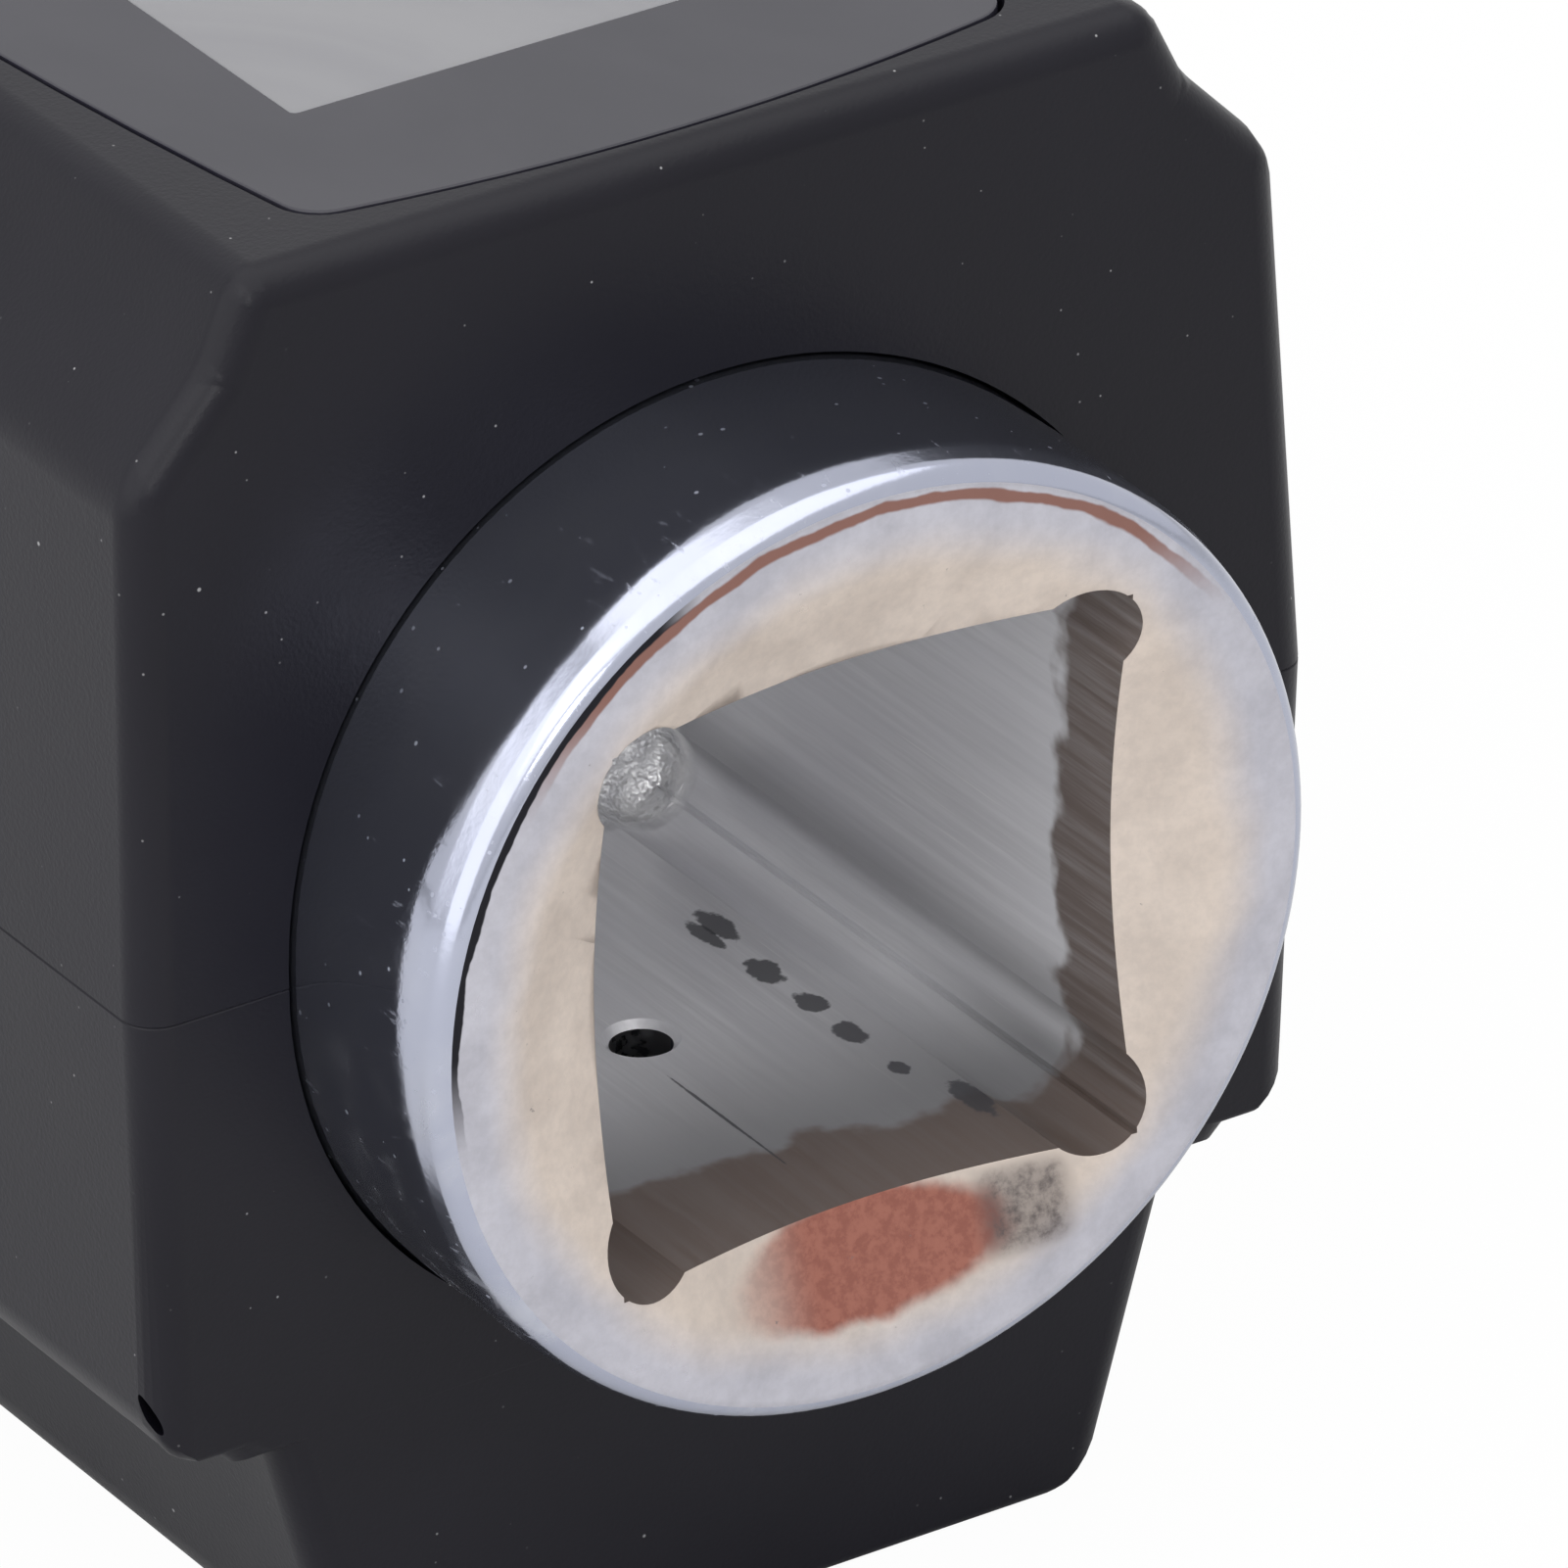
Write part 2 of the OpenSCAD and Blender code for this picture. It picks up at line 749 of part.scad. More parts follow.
module upper_casing() {
  inner = inset(mirrored(upper_half), wall);
  difference() {
    union() {
      difference() {
        upper_body();
        intersection() {
          along_y(front_y + end_wall, rear_y - end_wall) union() {
            polygon(inner);
            translate([-inner[0].x, -overrun]) square([2 * inner[0].x, wall + 2 * overrun]);
          }
          box(-half_w, half_w, front_y, rear_y, -overrun, roof_z);
        }
      }
      intersection() {
        upper_body();
        union() {
          rib_webs(0, rib_top);
          at_screws() cylinder(h = screw_post_h, r = screw_post_r);
          at_board_screws() translate([0, 0, board_top])
            cylinder(h = roof_z - board_top + post_sink, r = board_post_r);
        }
      }
    }
    drive_room();
    // Recess of the display panel
    along_z(recess_z, top_h + overrun) translate([0, mid_y])
      polygon(inset(panel_outline, -panel_gap));
    // Openings under the panel
    translate([0, window_mid, 0]) along_z(roof_z - overrun, top_h)
      square([window_w - 2 * window_rim, window_l - 2 * window_rim], center = true);
    for (place = button_places)
      translate(place) along_z(roof_z - overrun, top_h)
        polygon(inset(button_outline, -button_gap));
    translate([0, lens_y, roof_z - overrun]) cylinder(h = top_h, r = lens_r + pin_gap);
    at_screws() translate([0, 0, -overrun])
      cylinder(h = screw_l - screw_seat + 2 * overrun, r = screw_r + pin_gap);
    at_board_screws() translate([0, 0, board_z])
      cylinder(h = board_screw_l + board_t / 2, r = board_screw_r + pin_gap);
  }
}

module lower_shell() {
  color([0.11, 0.11, 0.13]) union() {
    lower_casing();
    locking_keys(-key_h, 0);
  }
}

module lower_casing() {
  floor_x = half_w - block_taper - wall;
  side_x = half_w - wall;
  difference() {
    union() {
      difference() {
        lower_body();
        along_y(front_y + end_wall, rear_y - end_wall)
          polygon([[-floor_x, -cavity_floor], [floor_x, -cavity_floor], [side_x, 0],
            [side_x, overrun], [-side_x, overrun], [-side_x, 0]]);
      }
      intersection() {
        lower_body();
        union() {
          rib_webs(-block_h, 0);
          at_screws() translate([0, 0, -block_h]) cylinder(h = block_h, r = screw_post_r);
        }
      }
    }
    drive_room();
    // Room for the two cells, open to the door
    for (side = [-1, 1])
      translate([side * cell_x, 0, -cell_z]) rod_y(comp_front, comp_rear, cell_r + cell_gap);
    box(-door_half, door_half, comp_front, comp_rear, -base_h - overrun, -cell_z);
    // Slots for the contact tabs
    for (side = [-1, 1])
      box(side * tab_x - tab_w / 2 - fit_gap, side * tab_x + tab_w / 2 + fit_gap,
        comp_front, comp_front + plate_t + fit_gap, -cell_z, -cavity_floor + overrun);
    // Pockets that keep the ends of the hump an even thickness
    pocket = door_half - hump_wall;
    box(-pocket, pocket, front_y + end_wall, comp_front - end_wall,
      -door_z + pocket_floor, -cavity_floor + overrun);
    box(-pocket, pocket, comp_rear + end_wall, rear_y - end_wall,
      -door_z + pocket_floor, -cavity_floor + overrun);
    // Opening and rail grooves of the door, out through the rear end
    box(-door_half, door_half, comp_front - door_lap - door_gap, rear_y + overrun,
      -base_h - overrun, -door_z + door_gap);
    box(-door_half - door_rail - door_gap, door_half + door_rail + door_gap,
      comp_front - door_lap - door_gap, rear_y + overrun,
      -door_z - rail_h - door_gap, -door_z + door_gap);
    // Counterbored screw holes, which just break out of the rounded corners
    at_screws() translate([0, 0, -shelf_z]) cylinder(h = shelf_z - screw_seat, r = bore_r);
    at_screws() translate([0, 0, -shelf_z])
      cylinder(h = shelf_z + overrun, r = screw_r + pin_gap);
  }
}

module housing_screws() {
  slot = screw_r / 2;
  color("dimgray") at_screws() difference() {
    union() {
      translate([0, 0, -screw_seat]) cylinder(h = screw_l, r = screw_r);
      translate([0, 0, -screw_seat - screw_head_h]) cylinder(h = screw_head_h, r = screw_head_r);
    }
    for (turn = [0, 90])
      rotate([0, 0, turn])
        translate([0, 0, -screw_seat - screw_head_h])
          cube([screw_head_r, slot, screw_head_h], center = true);
  }
}

module battery_door() {
  color([0.12, 0.12, 0.14]) difference() {
    intersection() {
      lower_body();
      union() {
        box(-door_half + door_gap, door_half - door_gap, door_front, rear_y, -base_h, -door_z);
        box(-door_half - door_rail + door_gap, door_half + door_rail - door_gap,
          door_front, rear_y, -door_z - rail_h, -door_z);
      }
    }
    // Finger ridges near the rear end
    for (i = [0:4])
      translate([0, comp_rear - 2 * i * grip_l, -base_h])
        cube([grip_w, grip_l, 2 * grip_depth], center = true);
  }
}

// Display

module display_panel() {
  color([0.2, 0.2, 0.23]) difference() {
    along_z(panel_z, top_h) translate([0, mid_y]) polygon(panel_outline);
    translate([0, window_mid, 0]) along_z(panel_z - overrun, top_h + overrun)
      square([window_w, window_l], center = true);
    for (place = button_places)
      translate(place) along_z(panel_z - overrun, top_h + overrun)
        polygon(inset(button_outline, -button_gap));
    translate([0, lens_y, panel_z - overrun]) cylinder(h = top_h, r = lens_r + pin_gap);
  }
}

module panel_adhesive() {
  color("gray") difference() {
    along_z(recess_z, panel_z) translate([0, mid_y]) polygon(inset(panel_outline, panel_gap));
    translate([0, window_mid, 0]) along_z(recess_z - overrun, panel_z + overrun)
      square([window_w - 2 * window_rim, window_l - 2 * window_rim], center = true);
    for (place = button_places)
      translate(place) along_z(recess_z - overrun, panel_z + overrun)
        polygon(inset(button_outline, -button_flange));
    translate([0, lens_y, recess_z - overrun]) cylinder(h = top_h, r = lens_r + lens_rim);
  }
}

module display_window() {
  color([0.7, 0.75, 0.75, 0.5]) translate([0, window_mid, 0]) along_z(panel_z, top_h)
    square([window_w, window_l], center = true);
}

module lcd_glass() {
  color([0.62, 0.66, 0.6]) translate([0, window_mid, 0]) along_z(glass_z, glass_z + glass_t)
    square([glass_w, glass_l], center = true);
}

module lcd_frame() {
  color("white") translate([0, window_mid, 0]) along_z(board_top, roof_z - fit_gap)
    difference() {
      square([2 * frame_half_w, 2 * frame_half_l], center = true);
      square([glass_w + 2 * fit_gap, glass_l + 2 * fit_gap], center = true);
    }
}

module backlight_panel() {
  color("whitesmoke") translate([0, window_mid, 0]) along_z(board_top, glass_z)
    square([glass_w - 2 * strip_gap, glass_l - 2 * strip_l - 4 * strip_gap], center = true);
}

module contact_strips() {
  color("hotpink") for (end = [-1, 1])
    translate([0, window_mid + end * (glass_l / 2 - strip_gap - strip_l / 2), 0])
      along_z(board_top, glass_z) square([glass_w - 4 * strip_gap, strip_l], center = true);
}

module status_led() {
  color("tomato") translate([0, lens_y, board_top])
    translate([-led_side / 2, -led_side / 2, 0]) cube([led_side, led_side, led_h]);
}

module status_lens() {
  color([1, 0.5, 0.4, 0.7]) translate([0, lens_y, 0]) {
    translate([0, 0, board_top + led_h + fit_gap])
      cylinder(h = top_h - board_top - led_h - fit_gap, r = lens_r);
    translate([0, 0, roof_z - lens_rim_t]) cylinder(h = lens_rim_t, r = lens_r + lens_rim);
  }
}

// Board and what it carries

module main_board() {
  color("darkgreen") difference() {
    box(-board_half_w, board_half_w, board_front, board_rear, board_z, board_top);
    at_board_screws() translate([0, 0, board_z - overrun])
      cylinder(h = board_t + 2 * overrun, r = board_screw_r + fit_gap);
  }
}

module board_screws() {
  color("silver") at_board_screws() {
    translate([0, 0, board_z - board_screw_head_h])
      cylinder(h = board_screw_head_h, r = board_screw_head_r);
    translate([0, 0, board_z]) cylinder(h = board_screw_l, r = board_screw_r);
  }
}

// Chips hang under the board, where the shank leaves room
module measuring_chips() {
  color([0.15, 0.15, 0.15]) {
    translate([-chip_x, gauge_y, board_z - chip_t / 2])
      cube([controller_side, controller_side, chip_t], center = true);
    translate([chip_x, gauge_y - converter_side / 2, board_z - chip_t / 2])
      cube([converter_side, converter_side, chip_t], center = true);
  }
}

module board_parts() {
  color("tan") for (i = [-2:2])
    for (side = [-1, 1])
      translate([side * part_x, gauge_y - gauge_l + i * part_pitch, board_z - part_t / 2])
        cube([part_w, part_l, part_t], center = true);
}

module buzzer() {
  color([0.1, 0.1, 0.1]) translate([board_half_w / 2, buzzer_y, board_z - buzzer_h])
    difference() {
      cylinder(h = buzzer_h, r = buzzer_r);
      translate([0, 0, -overrun]) cylinder(h = overrun + buzzer_h / 2, r = buzzer_hole_r);
    }
}

module switch_cases() {
  color([0.25, 0.25, 0.27]) for (place = button_places)
    translate([place.x, place.y, board_top]) difference() {
      translate([-switch_side / 2, -switch_side / 2, 0]) cube([switch_side, switch_side, switch_h]);
      translate([0, 0, switch_h - plunger_in - button_travel - fit_gap])
        cylinder(h = switch_h, r = plunger_r + fit_gap);
    }
}

// Buttons: each cap presses its own switch plunger

module button_cap(place) {
  color([0.3, 0.3, 0.33]) translate([place.x, place.y, 0]) {
    along_z(button_base, top_h + button_reach) polygon(button_outline);
    along_z(button_base, button_flange_top) polygon(inset(button_outline, -button_flange));
  }
}

module switch_plunger(place) {
  color("ivory") translate([place.x, place.y, board_top + switch_h - plunger_in])
    cylinder(h = button_base - board_top - switch_h + plunger_in, r = plunger_r);
}

module power_button() { button_cap(button_places[2]); }
module unit_button() { button_cap(button_places[3]); }
module plus_button() { button_cap(button_places[1]); }
module minus_button() { button_cap(button_places[0]); }
module power_plunger() { switch_plunger(button_places[2]); }
module unit_plunger() { switch_plunger(button_places[3]); }
module plus_plunger() { switch_plunger(button_places[1]); }
module minus_plunger() { switch_plunger(button_places[0]); }

// Battery parts: the left cell's button faces the front, the right cell's the rear

module cell(from, way) {
  body_l = cell_l - cell_nub_l;
  low = way > 0 ? from : from + cell_nub_l;
  rod_y(low, low + body_l, cell_r);
  rod_y(from, from + cell_l, cell_nub_r);
}

module left_cell() {
  color("slategray") translate([-cell_x, 0, -cell_z]) cell(comp_front + plate_t, -1);
}

module right_cell() {
  color("slategray") translate([cell_x, 0, -cell_z]) cell(comp_front + plate_t + cell_spring_l, 1);
}

module contact_plate(side) {
  box(side * cell_x - plate_w / 2, side * cell_x + plate_w / 2, comp_front, comp_front + plate_t,
    -cell_z - plate_h / 2, -cell_z + plate_h / 3);
  box(side * tab_x - tab_w / 2, side * tab_x + tab_w / 2, comp_front, comp_front + plate_t,
    -cell_z, -cavity_floor + tab_top);
}

module plus_contact() { color("silver") contact_plate(-1); }
module minus_contact() { color("silver") contact_plate(1); }

module bridge_contact() {
  color("silver") box(-cell_x - plate_w / 2, cell_x + plate_w / 2, comp_rear - plate_t, comp_rear,
    -cell_z - plate_h / 2, -cell_z);
}

// Envelope of a tapered coil between a plate and a cell
module cell_spring(root_r, tip_r) {
  rotate([-90, 0, 0]) difference() {
    cylinder(h = cell_spring_l, r1 = root_r, r2 = tip_r);
    translate([0, 0, -overrun])
      cylinder(h = cell_spring_l + 2 * overrun, r = min(root_r, tip_r) - spring_wire);
  }
}

module minus_spring() {
  color("silver") translate([cell_x, comp_front + plate_t, -cell_z])
    cell_spring(spring_root_r, spring_tip_r);
}

module bridge_spring() {
  color("silver") translate([-cell_x, comp_rear - plate_t - cell_spring_l, -cell_z])
    cell_spring(spring_tip_r, spring_root_r);
}

module battery_lead(side) {
  start = [side * tab_x, comp_front + plate_t + lead_r, -cavity_floor + lead_gap + lead_r];
  wire([
    start,
    [side * lead_x, lead_y, -cavity_floor + lead_up],
    [side * lead_x, lead_y, board_z]
  ], lead_r);
}

module red_lead() { color("red") battery_lead(-1); }
module black_lead() { color("black") battery_lead(1); }

torque_body();
detent_ball();
detent_spring();
strain_gauges();
gauge_cover();
gauge_harness();
gauge_plug();
upper_shell();
lower_shell();
display_panel();
panel_adhesive();
display_window();
lcd_glass();
lcd_frame();
backlight_panel();
contact_strips();
main_board();
board_screws();
measuring_chips();
board_parts();
buzzer();
status_led();
status_lens();
switch_cases();
power_button();
unit_button();
plus_button();
minus_button();
power_plunger();
unit_plunger();
plus_plunger();
minus_plunger();
left_cell();
right_cell();
plus_contact();
minus_contact();
bridge_contact();
minus_spring();
bridge_spring();
red_lead();
black_lead();
battery_door();
housing_screws();
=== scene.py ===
import math
import bmesh
import bpy
from mathutils import Matrix, Vector


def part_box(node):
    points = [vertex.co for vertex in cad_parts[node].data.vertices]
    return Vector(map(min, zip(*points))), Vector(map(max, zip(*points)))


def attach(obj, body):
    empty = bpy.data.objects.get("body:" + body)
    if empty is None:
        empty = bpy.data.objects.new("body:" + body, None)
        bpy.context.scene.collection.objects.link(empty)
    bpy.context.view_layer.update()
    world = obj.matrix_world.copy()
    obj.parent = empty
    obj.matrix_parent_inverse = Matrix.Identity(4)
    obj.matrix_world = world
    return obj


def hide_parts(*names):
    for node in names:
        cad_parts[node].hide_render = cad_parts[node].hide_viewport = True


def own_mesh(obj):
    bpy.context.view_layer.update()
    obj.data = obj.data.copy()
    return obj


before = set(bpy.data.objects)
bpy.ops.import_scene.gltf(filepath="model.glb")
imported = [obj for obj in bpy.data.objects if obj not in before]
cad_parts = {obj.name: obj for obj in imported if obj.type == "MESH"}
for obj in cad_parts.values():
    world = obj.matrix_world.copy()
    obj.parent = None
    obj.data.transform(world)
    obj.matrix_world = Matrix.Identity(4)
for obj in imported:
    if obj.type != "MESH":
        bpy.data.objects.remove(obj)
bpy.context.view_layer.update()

# Lengths below are in millimetres, as in the part's drawing
MM = 0.001
# Points closer than this count as one
SAME = 1e-4
Y, Z = Vector((0, 1, 0)), Vector((0, 0, 1))

# Housing, as half outlines seen along the drive axis
FRONT_Y = 8.2
REAR_Y = 80.2
MID_Y = (FRONT_Y + REAR_Y) / 2
TOP_Z = 24.4
BASE_Z = -28.296
END_SLOPE = math.tan(math.radians(2))
UPPER = [(22.0, 0.0), (21.35, 18.2), (18.2, 21.486), (16.85, TOP_Z)]
UPPER_R = [0, 3.0, 4.0, 1.4]
BLOCK = [(18.7, -16.9), (19.2, -16.4), (21.5, -16.4), (22.0, 0.0)]
BLOCK_R = [0, 0, 2.15, 0]
HUMP_TOP = -12.0
HUMP = [(14.1, BASE_Z), (18.53, HUMP_TOP)]
HUMP_R = [3.5, 0]
END_R = 1.25
LOW_END_R = 0.4
SEAM_R = 0.05
# Inner faces of the end walls
INNER_FRONT = 10.6
INNER_REAR = 77.8
# Slit in the corner beside each screw: its way from the screw, its height, and its half
# sizes across, outwards and along
SLIT_X, SLIT_Y, SLIT_Z = 1.93, 1.49, -14.4
SLIT_SIZE = (0.27, 1.1, 0.82)

# Drive body
HEAD_R = 16.5
HEAD_END = 12.0
NECK_R = 15.4
SHANK_R = 11.0
SHANK_END = 68.0
FLANGE_R = 14.5
FLANGE_END = 82.5
LEAD_IN_R = 13.6
FACE_R = 15.78
SOCKET = 19.3
SOCKET_END = 28.8
RELIEF_AT = 8.25
RELIEF_R = 1.85
PIN_Y = 14.2
PIN_R = 1.05
SQUARE = 19.0
SQUARE_END = 105.0
BALL_Y = 94.2
# Dark spots on the socket's lower wall: middle x and y, half width and half length
SPOTS = [(6.1, 19.2, 0.5, 1.3), (5.4, 18.9, 0.35, 1.1), (5.7, 15.7, 0.6, 0.9), (5.8, 13.1, 0.5, 0.8),
         (5.75, 10.7, 0.5, 0.8), (5.75, 7.9, 0.35, 0.5), (-0.65, 8.3, 0.07, 3.6), (6.6, 5.0, 0.5, 1.4)]

# Display, buttons and screws
PANEL_Z = 23.2
WINDOW_MID = 33.2
LENS_Y = 52.7
LENS_HOLE_R = 1.05
BUTTON_GAP = 0.25
BUTTONS = {
    "minus": (-6.2, 58.2),
    "plus": (6.2, 58.2),
    "power": (-6.2, 68.2),
    "unit": (6.2, 68.2),
}
SCREWS = [(x, y) for y in (11.3, 77.1) for x in (-19.1, 19.1)]
SCREW_HOLE_R = 1.2
BOARD_SCREWS = [(x, y) for y in (17.7, 70.9) for x in (-14.9, 14.9)]

# Cells and their door
CELL_X = 6.6
CELL_Z = -21.196
CELL_R = 5.25
BAY_FRONT = 19.2
BAY_REAR = 69.2
BAY_R = 5.5
POCKET_X = 9.9
POCKET_BASE = -25.296
DOOR_X = 12.0
DOOR_FRONT = 17.55
RAIL_X = 12.65
RAIL_TOP = -26.546
RAIL_BASE = -27.546


# Shapes

def mirrored(points):
    return points + [(-x, z) for x, z in reversed(points)]


def polygon(points):
    shape = bmesh.new()
    shape.faces.new([shape.verts.new(point) for point in points])
    return shape


def pull(shape, way):
    """The shape's only face pulled along a way into a solid"""
    made = bmesh.ops.extrude_face_region(shape, geom=shape.faces[:], use_keep_orig=True)
    ends = [item for item in made["geom"] if isinstance(item, bmesh.types.BMVert)]
    bmesh.ops.translate(shape, verts=ends, vec=way)
    bmesh.ops.recalc_face_normals(shape, faces=shape.faces[:])
    return shape


def slab(points, low, high):
    """A solid from z = low to z = high over an outline in x and y"""
    return pull(polygon([(x, y, low) for x, y in points]), (0, 0, high - low))


def bar(points, front, rear):
    """A solid from y = front to y = rear over an outline in x and z"""
    return pull(polygon([(x, front, z) for x, z in points]), (0, rear - front, 0))


def block(low, high):
    size = [b - a for a, b in zip(low, high)]
    middle = [(a + b) / 2 for a, b in zip(low, high)]
    shape = bmesh.new()
    place = Matrix.Translation(middle) @ Matrix.Diagonal((*size, 1))
    bmesh.ops.create_cube(shape, size=1, matrix=place)
    return shape


def rod(start, end, r, tip=None, steps=48):
    """A cylinder, or a cone when the tip has its own radius"""
    start, end = Vector(start), Vector(end)
    way = end - start
    turn = way.to_track_quat("Z", "Y").to_matrix().to_4x4()
    place = Matrix.Translation((start + end) / 2) @ turn
    shape = bmesh.new()
    bmesh.ops.create_cone(
        shape, cap_ends=True, segments=steps, radius1=r, radius2=r if tip is None else tip,
        depth=way.length, matrix=place)
    return shape


def lathe(points, steps, place=None):
    """A solid turned round the Y axis from points (y, radius)"""
    shape = bmesh.new()
    verts = [shape.verts.new((r, y, 0)) for y, r in points]
    edges = [shape.edges.new(pair) for pair in zip(verts, verts[1:])]
    bmesh.ops.spin(
        shape, geom=verts + edges, cent=(0, 0, 0), axis=Y, angle=math.tau, steps=steps,
        use_merge=True, use_duplicate=False)
    bmesh.ops.remove_doubles(shape, verts=shape.verts[:], dist=SAME)
    bmesh.ops.recalc_face_normals(shape, faces=shape.faces[:])
    if place:
        bmesh.ops.transform(shape, verts=shape.verts[:], matrix=place)
    return shape


def arc(y, r, radius, first, last, steps):
    """Points (y, radius) of an arc for the lathe, its angles measured from the axis"""
    turns = [math.radians(first + (last - first) * i / steps) for i in range(steps + 1)]
    return [(y + radius * math.cos(turn), r + radius * math.sin(turn)) for turn in turns]


def globe(middle, r):
    shape = bmesh.new()
    bmesh.ops.create_uvsphere(
        shape, u_segments=48, v_segments=32, radius=r, matrix=Matrix.Translation(middle))
    return shape


def moved(shape, way):
    bmesh.ops.translate(shape, verts=shape.verts[:], vec=way)
    return shape


def mesh_of(name, shape):
    mesh = bpy.data.meshes.new(name)
    shape.to_mesh(mesh)
    shape.free()
    return mesh


def placed(name, data):
    """A new object of the scene"""
    held = bpy.data.objects.new(name, data)
    bpy.context.scene.collection.objects.link(held)
    return held


def together(*shapes):
    """Several loose shapes as one"""
    whole = bmesh.new()
    for shape in shapes:
        mesh = mesh_of("part", shape)
        whole.from_mesh(mesh)
        bpy.data.meshes.remove(mesh)
    return whole


def round_corners(shape, corners, offset):
    """Corners of a flat outline rounded; on a square corner the offset is the radius"""
    bmesh.ops.bevel(
        shape, geom=corners, offset=offset, offset_type="OFFSET", affect="VERTICES",
        segments=6, profile=0.5, material=-1)
    return shape


def rounded_slab(width, length, r, low, high, middle):
    cx, cy = middle
    left, right = cx - width / 2, cx + width / 2
    front, rear = cy - length / 2, cy + length / 2
    shape = polygon([(left, front, low), (right, front, low), (right, rear, low), (left, rear, low)])
    return pull(round_corners(shape, shape.verts[:], r), (0, 0, high - low))


def rim_edges(shape, height, axis=2):
    """Edges of the flat faces that lie at one height along an axis"""
    return [
        edge for edge in shape.edges
        if all(abs(vert.co[axis] - height) < 1e-3 for vert in edge.verts)
        and edge.calc_face_angle(0) > 0.4
    ]


def soften(shape, edges, width, steps):
    bmesh.ops.bevel(
        shape, geom=edges, offset=width, offset_type="OFFSET", affect="EDGES",
        segments=steps, profile=0.5, clamp_overlap=True, material=-1)
    return shape


def working(name, shape):
    """A shape held by an object for as long as a modifier works on it"""
    return placed(name, mesh_of(name, shape))


def released(held):
    """The shape after the modifiers of its object"""
    shape = bmesh.new()
    shape.from_object(held, bpy.context.evaluated_depsgraph_get())
    dropped(held)
    return shape


def dropped(held):
    mesh = held.data
    bpy.data.objects.remove(held)
    bpy.data.meshes.remove(mesh)


def combined(operation, base, *tools):
    work = working("base", base)
    helpers = [working("tool", tool) for tool in tools]
    for helper in helpers:
        step = work.modifiers.new("step", "BOOLEAN")
        step.operation = operation
        step.solver = "EXACT"
        step.object = helper
    shape = released(work)
    for helper in helpers:
        dropped(helper)
    bmesh.ops.remove_doubles(shape, verts=shape.verts[:], dist=SAME)
    bmesh.ops.dissolve_degenerate(shape, edges=shape.edges[:], dist=SAME)
    return shape


def cut(base, *tools):
    return combined("DIFFERENCE", base, *tools)


def joined(base, *tools):
    return combined("UNION", base, *tools)


def coil(r, wire, length, turns, low, tip=None):
    """A wire wound round the Z axis from z = low, narrowing to the tip's radius"""
    per_turn = 28
    shape = bmesh.new()
    bmesh.ops.create_circle(
        shape, segments=10, radius=wire,
        matrix=Matrix.Translation((r - wire, 0, 0)) @ Matrix.Rotation(math.pi / 2, 4, "X"))
    steps = round(turns * per_turn)
    climb = (length - 2 * wire) / steps
    ring = shape.faces.new(shape.verts[:])
    bmesh.ops.spin(
        shape, geom=[ring], cent=(0, 0, 0), axis=Z, dvec=(0, 0, climb),
        angle=math.tau * turns, steps=steps, use_duplicate=False)
    bmesh.ops.recalc_face_normals(shape, faces=shape.faces[:])
    if tip:
        for vert in shape.verts:
            share = vert.co.z / (length - 2 * wire)
            scale = 1 + (tip / r - 1) * share
            vert.co.x *= scale
            vert.co.y *= scale
    return moved(shape, (0, 0, low + wire))


def node_box(name):
    """Low and high corner of a node of the frame, in millimetres"""
    return [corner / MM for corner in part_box(name)]


def finished(name, shape, body, finish, replaced=(), smooth=32, edge=0.0):
    """A shape in millimetres made a piece of the scene, in metres and in place"""
    bmesh.ops.scale(shape, vec=(MM, MM, MM), verts=shape.verts[:])
    mesh = mesh_of(name, shape)
    mesh.shade_smooth()
    mesh.set_sharp_from_angle(angle=math.radians(smooth))
    piece = placed(name, mesh)
    for material in finish if isinstance(finish, list) else [finish]:
        mesh.materials.append(material)
    if edge:
        bevel = piece.modifiers.new("edges", "BEVEL")
        bevel.width = edge * MM
        bevel.segments = 2
        bevel.limit_method = "ANGLE"
        bevel.angle_limit = math.radians(40)
    even = piece.modifiers.new("even shading", "WEIGHTED_NORMAL")
    even.keep_sharp = True
    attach(piece, body)
    if replaced:
        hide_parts(*replaced)
    return piece


# Finishes

